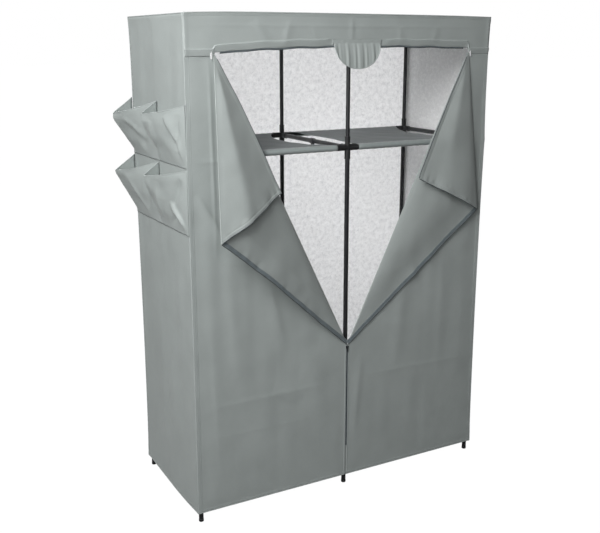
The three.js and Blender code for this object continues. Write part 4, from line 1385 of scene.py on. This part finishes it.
@dataclass
class FoldedDoor:
    """One cloth door, folded twice: its flap turned out over the front panel, and the flap's corner
    turned back. Its flat coordinates are metres across and down from its top outer corner."""

    side: Side
    cover: CoverFrame
    cone: float
    ridge: float
    mid_gap: float
    bow: float
    wave: float
    climb: float
    fall: float
    lean: float
    tip: float
    puff: float
    puff_width: float
    settle: float
    rise: float
    top_bow: float
    top_end: float
    roll: float = 0.0022
    crease_roll: float = 0.0014
    pull: float = 0.00105
    tape_width: float = 0.016
    facing: float = 0.0125
    coil_inset: float = 0.0012
    row_inset: float = 0.007
    zip_gap: float = 0.006

    def __post_init__(self) -> None:
        """Reads the folds' axes from the frame, and works the corner's directions out from them."""
        fold, crease = (JOINTS[f"{self.side.label}_{part}_fold"] for part in ("door", "corner"))
        self.door_body, self.corner_body = f"{self.side.label}_door", f"{self.side.label}_door_corner"
        couplings = frame["record"]["behaviour"]["couplings"]
        ratio = next(c["ratio"] for c in couplings if c["joint"] == crease["name"])
        self.turn = math.radians(fold["range_deg"][1])
        self.crease_turn = self.turn * ratio
        self.fold_axis, self.crease_axis = (
            unit(-np.sign(j["axis"][2]) * np.array(j["axis"])) for j in (fold, crease)
        )
        self.apex = np.array(fold["pos_m"]) - self.pull * Y_AXIS
        self.corner_apex = np.array(crease["pos_m"])
        self.beta = math.acos(self.fold_axis @ self.crease_axis)
        normal = np.cross(self.fold_axis, self.crease_axis)
        self.flap_normal = unit(-np.sign(normal[1]) * normal)
        inward = np.cross(Y_AXIS, self.fold_axis)
        self.inward = unit(-np.sign(inward[0]) * self.side.value * inward)
        outward = np.cross(self.crease_axis, self.flap_normal)
        self.outward = unit(-np.sign(outward @ self.fold_axis) * outward)
        flat_top = 2.0 * (self.fold_axis @ self.crease_axis) * self.crease_axis - self.fold_axis
        turned = [rotated(flat_top, self.crease_axis, sign * self.crease_turn) for sign in (-1, 1)]
        self.top_edge = max(turned, key=lambda v: float(v @ self.flap_normal))
        normal = np.cross(self.top_edge, self.crease_axis)
        self.corner_normal = unit(-np.sign(normal[1]) * normal)
        self.half = self.cover.corner_x
        self.drop = self.half * math.tan(2.0 * self.beta)
        self.crease_drop = self.half * math.tan(self.beta)

    def roll_radius(self, reach: Array) -> Array:
        """Radius of the main fold along its length: it tapers to nothing at both ends.

        Args:
            reach: distances from the apex.

        Returns:
            Radii.
        """
        length = math.hypot(self.half, self.drop)
        near = np.minimum(reach, length - reach)
        return self.roll * np.sqrt(np.clip(near / 0.06, 0.0004, 1.0))

    def crease_radius(self, reach: Array) -> Array:
        """Radius of the corner's fold: it opens from nothing at the apex."""
        opening = np.sqrt(np.clip(reach / 0.08, 0.0004, 1.0))
        return self.crease_roll * opening * (1.0 + 0.5 * smooth((reach - 0.45) / 0.12))

    def ripple(self, x: Array, v: Array) -> Array:
        """Uneven waves along the zip edge, which reach inward in longer and longer folds.

        Args:
            x: flat places across the door.
            v: flat places down it.

        Returns:
            Heights.
        """
        near = uneven(v, 0.3 * x, 0.047, 45 + self.side.value) + 0.5 * uneven(v, 0.4 * x, 0.021, 47)
        far = uneven(v - 0.35 * x, 0.2 * x, 0.083, 49 + self.side.value)
        edge = smooth((x - self.half + 0.06) / 0.06)
        return self.wave * (near * edge + 0.9 * far * smooth((x - self.half + 0.17) / 0.15))

    def flap(self) -> Surface:
        """The flap's visible face over flat coordinates: a plane through both folds, from which it
        puffs up beside the main fold, swells under the corner and settles towards its waving zip.

        Returns:
            The face.
        """
        length = math.hypot(self.half, self.drop)

        def place(x: Array, v: Array) -> Array:
            """The flap: a height over the plane of the fold and the crease.

            Args:
                x: flat places across.
                v: flat places down.

            Returns:
                Places.
            """
            theta, reach = np.arctan2(v, x), np.hypot(x, v)
            share = np.clip((theta - self.beta) / self.beta, 0.0, 1.0)
            draw = self.bow * np.sin(np.pi * share) ** 1.3 * (x / self.half) ** 5
            theta, reach = np.arctan2(v, x - draw), np.hypot(x - draw, v)
            to_fold = reach * np.sin(np.clip(2.0 * self.beta - theta, -0.1, 1.6))
            to_crease = reach * np.sin(np.clip(theta - self.beta, -0.1, 1.6))
            at_fold = self.roll_radius(reach)
            at_crease = self.pull - (self.crease_radius(reach) - CLOTH)
            gap = self.mid_gap
            gap = gap + (at_fold - self.mid_gap) * np.exp(-((to_fold / 0.014) ** 2))
            gap = gap + (at_crease - self.mid_gap) * np.exp(-((to_crease / 0.02) ** 2))
            free = smooth(to_fold / 0.09) * smooth(to_crease / 0.05)
            below = smooth((v - 0.305) / 0.10) * smooth((length - reach) / 0.2)
            to_zip = smooth((self.half - x - 0.008) / self.settle)
            puff = self.puff * (1.0 - np.exp(-to_fold / self.puff_width)) * smooth(share / self.rise)
            height = gap + puff * below * to_zip
            height = height + 0.0016 * free * uneven(x, v, 0.055, 51 + self.side.value)
            height = height + self.ripple(x, v) * smooth(to_fold / 0.08) * smooth(to_crease / 0.02)
            along_crease = np.sin(2.0 * self.beta - theta)[..., None] * self.crease_axis
            along_fold = np.sin(theta - self.beta)[..., None] * self.fold_axis
            direction = (along_crease + along_fold) / math.sin(self.beta)
            return self.apex + reach[..., None] * direction + height[..., None] * self.flap_normal

        return Surface(place, self.flap_normal, lambda x, v: (x, -v))

    def corner(self) -> Surface:
        """The corner's visible face over flat coordinates: a plane that bulges as a cone from the apex,
        which climbs from the top edge to a soft ridge and rounds off at the crease.

        Returns:
            The face.
        """

        def place(x: Array, v: Array) -> Array:
            """The corner: a height over the plane of the crease and the top edge.

            Args:
                x: flat places across.
                v: flat places down.

            Returns:
                Places.
            """
            theta, reach = np.arctan2(v, x), np.hypot(x, v)
            share = np.clip(theta / self.beta, 0.0, 1.0)
            climb = (share / self.ridge) ** self.climb
            fall = ((1.0 - share) / (1.0 - self.ridge)) ** self.fall
            bulge = np.clip(-np.log(np.exp(-6.0 * climb) + np.exp(-6.0 * fall)) / 6.0, 0.0, 1.0)
            bulge = bulge + self.lean * share * smooth((1.0 - share) / 0.18)
            under_tab = self.tip * smooth((x - 0.26) / 0.18) * smooth((0.20 - v) / 0.16)
            cone = self.cone * reach * bulge * smooth(reach / 0.12) * (1.0 - under_tab)
            edge = 0.0016 * np.sin(v * 61.0 + 1.0) * smooth((x - self.half + 0.05) / 0.05)
            unevenness = 0.0011 * uneven(x, v, 0.05, 61 + self.side.value) * smooth(reach / 0.1)
            from_side, from_top = self.half - x, v - self.upper_edge(x)
            facing = band(from_side, -0.01, self.facing) + band(from_top, -0.01, self.facing)
            furrow = np.exp(-(((from_side - self.facing) / 0.0016) ** 2))
            pucker = 0.0009 * uneven(x, v, 0.014, 63) * np.exp(-(((from_side - self.facing) / 0.02) ** 2))
            unevenness = unevenness + 0.0006 * facing - 0.0007 * furrow + pucker
            at_crease = self.crease_radius(reach)
            to_crease = reach * np.sin(np.clip(self.beta - theta, 0.0, 1.6))
            gap = 0.0016 + (at_crease - 0.0016) * np.exp(-((to_crease / 0.02) ** 2))
            height = gap + cone + (edge + unevenness + 0.0006) * smooth(to_crease / 0.02)
            along_top = np.sin(self.beta - theta)[..., None] * self.top_edge
            direction = (along_top + np.sin(theta)[..., None] * self.crease_axis) / math.sin(self.beta)
            return self.corner_apex + reach[..., None] * direction + height[..., None] * self.corner_normal

        return Surface(place, self.corner_normal, lambda x, v: (x, -v))

    def upper_edge(self, x: Array) -> Array:
        """Drop of the top edge, less than nothing where it is cut as an arch over the straight line."""
        share = np.clip(x / self.half, 0.0, 1.0)
        return -self.top_bow * np.sin(np.pi * share) - self.top_end * share**1.5

    def rolled(self, name: str, face: Surface, x: Array, v: Array, ring: Array) -> bpy.types.Object:
        """A door piece whose first columns are a fold's roll and the rest a surface.

        Args:
            name: the piece's name.
            face: the surface beyond the roll.
            x: rows by columns of flat coordinates beyond the roll.
            v: the same, downward.
            ring: rows by some columns by 3 places of the roll.

        Returns:
            The piece.
        """
        points = np.concatenate([ring, face.place(x, v)], axis=1)
        turns = ring.shape[1]
        lead = np.linspace(0.0069, 0.0003, turns)[None, :]
        flat_x = np.concatenate([np.broadcast_to(x[:, :1], (len(x), turns)), x], axis=1)
        flat_v = np.concatenate([v[:, :1] + lead, v], axis=1)
        return sewn(name, points, face.toward, np.stack([flat_x, -flat_v], axis=-1), [DOOR], CLOTH)

    def build(self) -> None:
        """Makes the flap and the corner with their rolls, zip tapes, coils and stitches."""
        edge = self.half - 0.02
        wide, fine = np.linspace(0.014, edge, 140), np.linspace(edge, self.half, 18)[1:]
        x = np.concatenate([[0.003, 0.006, 0.010], wide, fine])
        self.build_flap(x)
        self.build_corner(x)

    def build_flap(self, x: Array) -> None:
        """The flap, its main fold and the zip along its free edge.

        Args:
            x: places of its rows across the door.
        """
        label, body, face = self.side.label, self.door_body, self.flap()
        roll = Roll(
            self.apex, self.fold_axis, Y_AXIS, self.inward, self.turn, self.roll_radius, self.roll, ROOT, body
        )
        xx, theta = mesh_grid(x, np.linspace(2.0 * self.beta, self.beta, 150))
        reach = x / math.cos(2.0 * self.beta)
        made = self.rolled(f"door_{label}_flap", face, xx, xx * np.tan(theta), roll.ring(reach))
        roll.blend(made, f"door_flap_{label}")
        v = np.linspace(self.crease_drop + 0.002, self.drop - self.zip_gap, 260)
        tape = mesh_grid(self.half - np.linspace(0.0, self.tape_width, 6), v)
        face.cloth(f"door_{label}_flap_tape", *tape, [TAPE], TAPE_CLOTH, 0.0006, body)
        FLAP_COIL.lay(f"door_{label}_flap_coil", face, self.half - self.coil_inset, v, body)
        rows = {
            "0": (0.0035, v, 0.0008),
            "1": (self.tape_width - 0.0012, v, 0.0008),
            "outer": (self.tape_width, v[:-20], -0.0009),
        }
        for part, (inset, run, lift) in rows.items():
            stitch(f"door_{label}_flap_stitches_{part}", face, self.half - inset, run, lift, body)

    def build_corner(self, x: Array) -> None:
        """The corner, its crease and the zip along its two free edges.

        Args:
            x: places of its rows across the door.
        """
        label, body, face = self.side.label, self.corner_body, self.corner()
        start, turn, widest = -self.flap_normal, self.crease_turn, self.crease_roll
        roll = Roll(
            self.corner_apex, self.crease_axis, start, self.outward, turn, self.crease_radius, widest,
            self.door_body, body,
        )
        share = 1.0 - (1.0 - np.linspace(0.0, 1.0, 120)) ** 1.3
        upper, lower = self.upper_edge(x)[:, None], (x * math.tan(self.beta))[:, None]
        xx = np.broadcast_to(x[:, None], (len(x), len(share)))
        vv = lower + (upper - lower) * share[None, :]
        reach = x / math.cos(self.beta)
        made = self.rolled(f"door_{label}_corner", face, xx, vv, roll.ring(reach))
        roll.blend(made, f"door_corner_{label}")
        run = np.linspace(0.02, self.half - 0.003, 180)
        fall = np.linspace(float(self.upper_edge(self.half)) + 0.003, self.crease_drop - self.zip_gap, 140)
        across, inset = mesh_grid(run, np.linspace(0.0, self.tape_width, 6))
        inward, down = mesh_grid(np.linspace(0.0, self.tape_width, 6), fall)
        top = self.upper_edge(run)
        coils = {"top": (run, top + 0.0006), "side": (self.half - self.coil_inset, fall)}
        rows = {"top": (run, top + self.row_inset), "side": (self.half - self.row_inset, fall)}
        tapes = {"top": (across, self.upper_edge(across) + inset), "side": (self.half - inward, down)}
        for part, path in coils.items():
            CORNER_COIL.lay(f"door_{label}_corner_coil_{part}", face, *path, body)
        for part, path in rows.items():
            stitch(f"door_{label}_corner_stitches_{part}", face, *path, 0.0001, body)
        for part, grid in tapes.items():
            face.cloth(f"door_{label}_corner_tape_{part}", *grid, [TAPE], TAPE_CLOTH, -0.0010, body)


@dataclass
class RoundTab:
    """The half-round flap at the middle of the band, with its sewn strip and bound edge."""

    cover: CoverFrame
    flare: float = 0.0095
    pucker: float = 0.0021
    strip_cloth: float = 0.0007
    disc_share: float = 0.785

    def build(self) -> None:
        """Makes the tab, its binding and the strip over its hinge line."""
        low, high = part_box("half_round_tab")
        top = JOINTS["tab_lift"]["pos_m"][2]
        drop = top - low.z
        half, middle = (high.x - low.x) * 0.482, (high.x + low.x) / 2.0 - 0.003
        plane = self.cover.front - 0.0022

        def place(across: Array, down: Array) -> Array:
            """The tab: a rounded drop that flares from its top and fans out in gathers.

            Args:
                across: shares across from the middle.
                down: shares down from the hinge line.

            Returns:
                Places.
            """
            fall = drop * np.sqrt(np.clip(1.0 - np.abs(across) ** 2.2, 0.006, 1.0)) * down
            flare = self.flare * (1.0 - (1.0 - fall / drop) ** 2.4)
            fan = 0.7 * np.sin(across * 12.0 + 0.7) + 0.8 * np.sin(across * 23.0 - 1.1)
            fan = fan + 0.4 * np.sin(across * 39.0)
            puckers = self.pucker * fan * np.sqrt(fall / drop) * (1.0 - 0.35 * fall / drop)
            y = plane - flare - puckers * 0.8 - 0.0022 * np.sqrt(fall / drop)
            return together(middle + half * across, y, top - fall)

        def strip_place(x: Array, z: Array) -> Array:
            """The strip: a plane with a little unevenness.

            Args:
                x: places across.
                z: heights.

            Returns:
                Places.
            """
            return together(x, plane - 0.0004 - 0.0004 * uneven(x, z, 0.01, 71), z)

        face = Surface(place, -Y_AXIS, lambda a, d: (a * half, -d * drop))
        across = np.sin(np.linspace(-1.0, 1.0, 120) * np.pi / 2.0) * 0.999
        grid = mesh_grid(across, np.linspace(0.0, 1.0, 50))
        made = face.cloth("tab_cloth", *grid, [COVER], body="tab", replaces=("half_round_tab",))
        TAB_BINDING.lay("tab_binding", face, across, 0.992, "tab")
        stitch("tab_edge_stitches", face, across[6:-6], 0.93, body="tab")
        strip = Surface(strip_place, -Y_AXIS)
        width, height = half + 0.006, np.linspace(top - 0.004, top + 0.010, 9)
        grid = mesh_grid(np.linspace(middle - width, middle + width, 90), height)
        strip.cloth("tab_strip", *grid, [COVER], self.strip_cloth)
        run = np.linspace(middle - half - 0.004, middle + half + 0.004, 60)
        for number, (up, lift) in enumerate(((-0.002, 0.0), (0.0085, -self.strip_cloth))):
            stitch(f"tab_strip_stitches_{number}", strip, run, top + up, lift)


POCKET_CREASES = {
    "upper": [
        Crease((0.100, 0.175), (0.015, 0.015), 0.0095, 0.016, 0.4),
        Crease((0.030, 0.170), (0.060, 0.050), -0.0060, 0.012),
        Crease((0.170, 0.160), (0.215, 0.020), 0.0060, 0.014),
        Crease((0.300, 0.170), (0.360, 0.030), -0.0060, 0.018),
        Crease((0.420, 0.160), (0.330, 0.060), 0.0050, 0.014),
    ],
    "lower": [
        Crease((0.030, 0.185), (0.095, 0.080), -0.0080, 0.013, 0.3),
        Crease((0.105, 0.100), (0.004, 0.004), 0.0115, 0.012, -0.3),
        Crease((0.150, 0.180), (0.200, 0.020), 0.0065, 0.014),
        Crease((0.060, 0.060), (0.150, 0.010), -0.0050, 0.010),
        Crease((0.290, 0.180), (0.340, 0.030), -0.0070, 0.016),
        Crease((0.400, 0.150), (0.360, 0.020), 0.0060, 0.012),
    ],
}


@dataclass(frozen=True)
class Pouch:
    """One pocket: how far its mouth stands out, how far it drops and where it stands out most."""

    reach: float
    drop: float
    peak: float


@dataclass
class PocketRow:
    """Two pockets sewn in one strip on the left side."""

    label: str
    cover: CoverFrame
    seed: int
    pouches: tuple[Pouch, Pouch] = (Pouch(0.062, 0.038, 0.90), Pouch(0.078, 0.052, 0.93))
    margin: float = 0.004
    fullness: float = 1.05

    def __post_init__(self) -> None:
        """Reads the mouth's level and the strip's height from the frame."""
        low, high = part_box(f"pocket_row_{self.label}")
        self.mouth, self.height = high.z, high.z - low.z
        self.creases = POCKET_CREASES[self.label]

    def outward(self, share: Array, peak: float) -> Array:
        """How far the mouth stands out along one pocket: a bowed climb to the peak, a quick return.

        Args:
            share: places along the pocket.
            peak: where it stands out most.

        Returns:
            Shares of its reach.
        """
        climb = share / peak
        rising = climb + 0.12 * np.sin(np.pi * np.clip(climb, 0.0, 1.0))
        return np.where(share > peak, smooth((1.0 - share) / (1.0 - peak)), rising)

    def face(self) -> Surface:
        """The strip's outer face over (share along it, share up it)."""
        start, end = self.cover.front + self.margin, self.cover.back - self.margin

        def place(u: Array, v: Array) -> Array:
            """The strip: it leans out to each mouth, drops with it, and is dented by its creases.

            Args:
                u: shares along the strip.
                v: shares up it.

            Returns:
                Places.
            """
            second = u >= 0.5
            share = np.clip(np.where(second, 2.0 * u - 1.0, 2.0 * u), 0.0, 1.0)
            front, rear = self.pouches
            out = np.where(second, self.outward(share, rear.peak), self.outward(share, front.peak))
            reach = np.where(second, rear.reach, front.reach)
            drop = np.where(second, rear.drop, front.drop)
            flat_y, flat_z = u * (end - start), v * self.height
            held = np.clip(4.0 * v * (1.15 - v), 0.0, 1.0) * smooth(out * 4.0)
            dents = relief_of(self.creases, flat_y, flat_z)
            dents = dents + 0.0045 * uneven(flat_y, flat_z, 0.05, self.seed)
            curl = v + 0.85 * v * v * (1.0 - v)
            x = self.cover.left - 0.0008 - reach * out * curl - dents * held
            z = self.mouth - self.height * (1.0 - v) - drop * out * v * v
            y = start + (end - start) * u + 0.004 * np.sin(v * np.pi) * out
            return together(x, y, z)

        return Surface(place, -X_AXIS, lambda u, v: (u * 0.5, v * self.height))

    def build(self) -> None:
        """Makes the strip with its bound mouth and stitched ends."""
        name, face = f"pockets_{self.label}", self.face()
        peaks = tuple((i + p.peak) / 2.0 for i, p in enumerate(self.pouches))
        u = steps(0.0, 1.0, 0.0075, (*peaks, 0.5), 0.012)
        v = np.linspace(0.0, 1.0, 64)
        made = face.cloth(name, *mesh_grid(u, v), [COVER], replaces=(f"pocket_row_{self.label}",))
        edge = face.place(u, np.ones_like(u))
        MOUTH_BINDING.lay(f"{name}_binding", face, u, 0.995)
        stitch(f"{name}_mouth_stitches", face, u[2:-2], 0.945)
        stitch(f"{name}_foot_stitches", face, u[2:-2], 0.02)
        for number, place in enumerate((0.004, 0.5, 0.996)):
            stitch(f"{name}_end_stitches_{number}", face, place, v[3:-3])


@dataclass
class ShelfCloth:
    """A cloth shelf slung between the front and back rails, with sleeves around both."""

    side: Side
    cover: CoverFrame
    sleeve: float = 0.0096
    sag: float = 0.004
    waists: tuple[float, float] = (0.025, 0.078)

    def profile(self) -> tuple[Array, int]:
        """The cloth's line from front to back: an arc round a rail, a sagging top, the arc mirrored.

        Returns:
            n by 2 places back from the front rail and up from the rails, and an arc's number of them.
        """
        depth, around = self.cover.post_depth, -np.radians(np.linspace(30.0, 270.0, 40))
        front = self.sleeve * np.stack([np.cos(around), np.sin(around)], axis=-1)
        t = np.linspace(0.0, 1.0, 110)[1:-1]
        top = np.stack([t * depth, self.sleeve - 4.0 * self.sag * t * (1.0 - t)], axis=-1)
        rear = front[::-1] * np.array([-1.0, 1.0]) + np.array([depth, 0.0])
        return np.concatenate([front, top, rear]), len(front)

    def build(self) -> None:
        """Makes the cloth over (share across, place along the profile) and its stitched seams."""
        label, level, depth = self.side.label, self.cover.shelf_level, self.cover.post_depth
        low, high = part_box(f"shelf_cloth_{label}")
        profile, arc = self.profile()
        order = np.arange(len(profile))

        def place(share: Array, station: Array) -> Array:
            """The shelf: the profile's place, waisted at both ends and wrinkled between the rails.

            Args:
                share: shares across.
                station: places along the profile.

            Returns:
                Places.
            """
            y, z = (np.interp(station, order, profile[:, k]) for k in (0, 1))
            inside = np.clip(y / depth, 0.0, 1.0)
            waist = 4.0 * inside * (1.0 - inside)
            start, end = low.x + self.waists[0] * waist, high.x - self.waists[1] * waist
            x = start + (end - start) * share
            over = smooth(inside / 0.06) * smooth((1.0 - inside) / 0.06)
            wrinkle = 0.0016 * uneven(x, y, 0.05, 81 + self.side.value) * over
            pull = 0.0004 * np.sin(x * 210.0) * (1.0 - over)
            return together(x, y, level + z + wrinkle + pull)

        length = np.concatenate([[0.0], np.cumsum(np.linalg.norm(np.diff(profile, axis=0), axis=1))])
        width, run = high.x - low.x, float(length[-1])
        face = Surface(place, Z_AXIS, lambda share, k: (share * width, np.interp(k, order, length)))
        share = np.linspace(0.0, 1.0, 80)
        grid, node = mesh_grid(share, order.astype(float)), f"shelf_cloth_{label}"
        # The shelf's top takes the darker copy of its cloth, painted shade; the sleeves round the rails keep the
        # lighter grey.
        made = face.cloth(f"shelf_{label}", *grid, [SHADED_SHELF_CLOTH], replaces=(node,))
        made.data.materials.append(SLEEVE_CLOTH.material())
        sleeves = np.zeros((len(share) - 1, len(order) - 1), dtype=np.int32)
        sleeves[:, : arc + 2] = sleeves[:, -arc - 2 :] = 1
        made.data.polygons.foreach_set("material_index", sleeves.ravel())
        seams = (arc + 3.0, len(profile) - arc - 4.0)
        for number, station in enumerate(seams):
            stitch(f"shelf_{label}_seam_{number}", face, share[1:-1], station)
        for number, end in enumerate((0.006, 0.994)):
            stitch(f"shelf_{label}_edge_{number}", face, end, np.linspace(*seams, 80))


@dataclass
class Tubework:
    """The metal frame: smooth tubes in place of the plain ones, and finishes for the rest."""

    sides: int = 40
    bevel: float = 0.0006
    zip_bevel: float = 0.0002
    tube_angle: float = math.radians(40.0)
    node_angle: float = math.radians(35.0)

    def build(self) -> None:
        """Replaces every plain tube and gives the other nodes their finish."""
        nodes = frame["nodes"]
        fused = ("base_", "top_", "hanging_rod", "rod_bracket")
        plain = [
            name
            for name in nodes
            if "upright" in name or name.startswith("shelf_rail") or name.endswith("rail_depth_middle")
        ]
        for name in plain:
            self.tube(name)
        for name in (n for n in nodes if n.startswith("shelf_connector")):
            self.finish_node(nodes[name], MOULDING, self.bevel)
        for name in (n for n in nodes if n.startswith(fused) and n not in plain):
            self.finish_node(nodes[name], TUBE, 0.0)
        for name in (n for n in nodes if n.startswith("zip_")):
            finish = ZIP_SLATE if name.endswith("centre") else ZIP_SILVER
            self.finish_node(nodes[name], finish, self.zip_bevel)

    def tube(self, name: str) -> None:
        """A smooth tube over a node's box: a circle swept along the box's longest side.

        Args:
            name: the node's name.
        """
        low, high = (np.array(corner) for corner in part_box(name))
        size, middle = high - low, (low + high) / 2.0
        axis = int(np.argmax(size))
        radius = float(np.delete(size, axis).mean()) / 2.0
        ends = np.array([low[axis], low[axis] + 0.001, high[axis] - 0.001, high[axis]])
        path = np.repeat(middle[None, :], len(ends), axis=0)
        path[:, axis] = ends
        normals = np.repeat((X_AXIS if axis != 0 else Z_AXIS)[None], len(ends), axis=0)
        made = sweep(f"{name}_tube", path, normals, round_section(radius, self.sides))
        made.data.set_sharp_from_angle(angle=self.tube_angle)
        dress(made, TUBE, ROOT, (name,))

    def finish_node(self, node: bpy.types.Object, finish: Finish, bevel: float) -> None:
        """Smooths a node's round faces and gives it a finish and small rounded edges.

        Args:
            node: the frame's node.
            finish: its finish.
            bevel: width of its rounded edges, or zero for none.
        """
        mesh = node.data
        mesh.polygons.foreach_set("use_smooth", np.ones(len(mesh.polygons), dtype=bool))
        mesh.set_sharp_from_angle(angle=self.node_angle)
        mesh.materials.clear()
        mesh.materials.append(finish.material())
        if bevel:
            rounding = node.modifiers.new("rounded edges", "BEVEL")
            rounding.width, rounding.segments = bevel, 2
            rounding.limit_method, rounding.angle_limit = "ANGLE", self.tube_angle
            rounding.harden_normals = False
        log.info("%s keeps its form, with %s", node.name, finish.name)


@dataclass
class Studio:
    """Pale floor, soft lights and the camera."""

    centre: tuple[float, float, float] = (-1.5616, -2.5024, 1.591)
    yaw: float = 28.84
    pitch: float = 14.49
    roll: float = -0.07
    lens: float = 52.15
    sensor: float = 36.0
    key_power: float = 69.0
    low_power: float = 13.0
    side_power: float = 14.0
    back_power: float = 59.0
    ambient: float = 0.21
    floor_share: float = 0.9
    floor_glow: float = 1.11
    floor_side: float = 60.0

    def build(self) -> None:
        """Sets the camera, floor, lights, world and view."""
        scene = bpy.context.scene
        scene.view_settings.view_transform = "Standard"
        camera = bpy.data.cameras.new("camera")
        camera.lens, camera.sensor_width, camera.sensor_fit = self.lens, self.sensor, "HORIZONTAL"
        placed = bpy.data.objects.new("camera", camera)
        turns = (("Z", -self.yaw), ("X", 90.0 - self.pitch), ("Z", self.roll))
        yaw, pitch, roll = (Matrix.Rotation(math.radians(angle), 4, axis) for axis, angle in turns)
        placed.matrix_world = Matrix.Translation(self.centre) @ yaw @ pitch @ roll
        scene.collection.objects.link(placed)
        scene.camera = placed
        floor = self.floor()
        key = self.area("key_light", (-2.02, -1.38, 2.62), (-0.1, 0.1, 1.6), 1.3, self.key_power)
        low = self.area("low_light", (-1.95, -2.1, 1.45), (0.42, 0.2, 1.65), 0.7, self.low_power)
        rear = self.area("rear_light", (0.0, 2.4, 1.3), (0.0, 0.4, 1.1), 1.1, self.back_power)
        flank = self.area("side_light", (-2.5, -0.3, 2.5), (-0.5, 0.2, 1.6), 0.8, self.side_power)
        self.world()

    def area(self, name: str, place: tuple, aim: tuple, size: float, power: float) -> bpy.types.Object:
        """A square area light turned to a point.

        Args:
            name: the light's name.
            place: where it stands.
            aim: the point that it faces.
            size: its side.
            power: its power in watts.

        Returns:
            The light, linked to the scene.
        """
        data = bpy.data.lights.new(name, "AREA")
        data.energy, data.size = power, size
        light = bpy.data.objects.new(name, data)
        light.location = place
        light.rotation_euler = (Vector(aim) - Vector(place)).to_track_quat("-Z", "Y").to_euler()
        bpy.context.scene.collection.objects.link(light)
        return light

    def floor(self) -> bpy.types.Object:
        """A wide floor that stays near white to the camera and takes a faint shadow.

        Returns:
            The floor.
        """
        side = self.floor_side
        corners = np.array([[-side, -side, 0.0], [side, -side, 0.0], [side, side, 0.0], [-side, side, 0.0]])
        made = build_mesh("floor", corners, np.array([[0, 1, 2, 3]]))
        nodes = NodeTree("floor_white")
        path = nodes.add("LightPath")
        matt = nodes.add("BsdfDiffuse", {"Color": (0.24, 0.24, 0.24, 1.0)})
        bright = nodes.add("Emission", {"Color": (1.0, 1.0, 1.0, 1.0), "Strength": self.floor_glow})
        share = nodes.maths("MULTIPLY", path.outputs["Is Camera Ray"], self.floor_share)
        mixed = nodes.add("MixShader", {0: share, 1: matt.outputs[0], 2: bright.outputs[0]})
        made.data.materials.append(nodes.finish(mixed))
        return made

    def world(self) -> None:
        """White to the camera, and an even grey light for everything else."""
        world = bpy.data.worlds.new("studio")
        bpy.context.scene.world = world
        world.use_nodes = True
        tree = world.node_tree
        tree.nodes.clear()
        path = tree.nodes.new("ShaderNodeLightPath")
        strength = tree.nodes.new("ShaderNodeMapRange")
        strength.inputs[3].default_value, strength.inputs[4].default_value = self.ambient, 1.0
        back = tree.nodes.new("ShaderNodeBackground")
        back.inputs[0].default_value = (1.0, 1.0, 1.0, 1.0)
        out = tree.nodes.new("ShaderNodeOutputWorld")
        tree.links.new(path.outputs["Is Camera Ray"], strength.inputs[0])
        tree.links.new(strength.outputs[0], back.inputs[1])
        tree.links.new(back.outputs[0], out.inputs[0])


def main() -> None:
    """Builds every sub-assembly."""
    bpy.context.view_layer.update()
    cover = CoverFrame()
    SewnCover(cover).build()
    FoldedDoor(
        Side.LEFT, cover, cone=0.062, ridge=0.66, mid_gap=0.0008, bow=0.007, wave=0.0024, climb=1.25,
        fall=1.1, lean=0.0, tip=0.0, puff=0.012, puff_width=0.014, settle=0.07, rise=0.32, top_bow=0.006,
        top_end=-0.010,
    ).build()
    FoldedDoor(
        Side.RIGHT, cover, cone=0.058, ridge=0.33, mid_gap=0.0012, bow=0.002, wave=0.0018, climb=1.0,
        fall=0.5, lean=0.12, tip=0.62, puff=0.016, puff_width=0.030, settle=0.15, rise=0.25, top_bow=0.007,
        top_end=0.0165,
    ).build()
    RoundTab(cover).build()
    for label, seed in (("upper", 91), ("lower", 95)):
        PocketRow(label, cover, seed).build()
    for side in Side:
        ShelfCloth(side, cover).build()
    Tubework().build()
    Studio().build()
    bpy.context.view_layer.update()


if __name__ == "__main__":
    main()
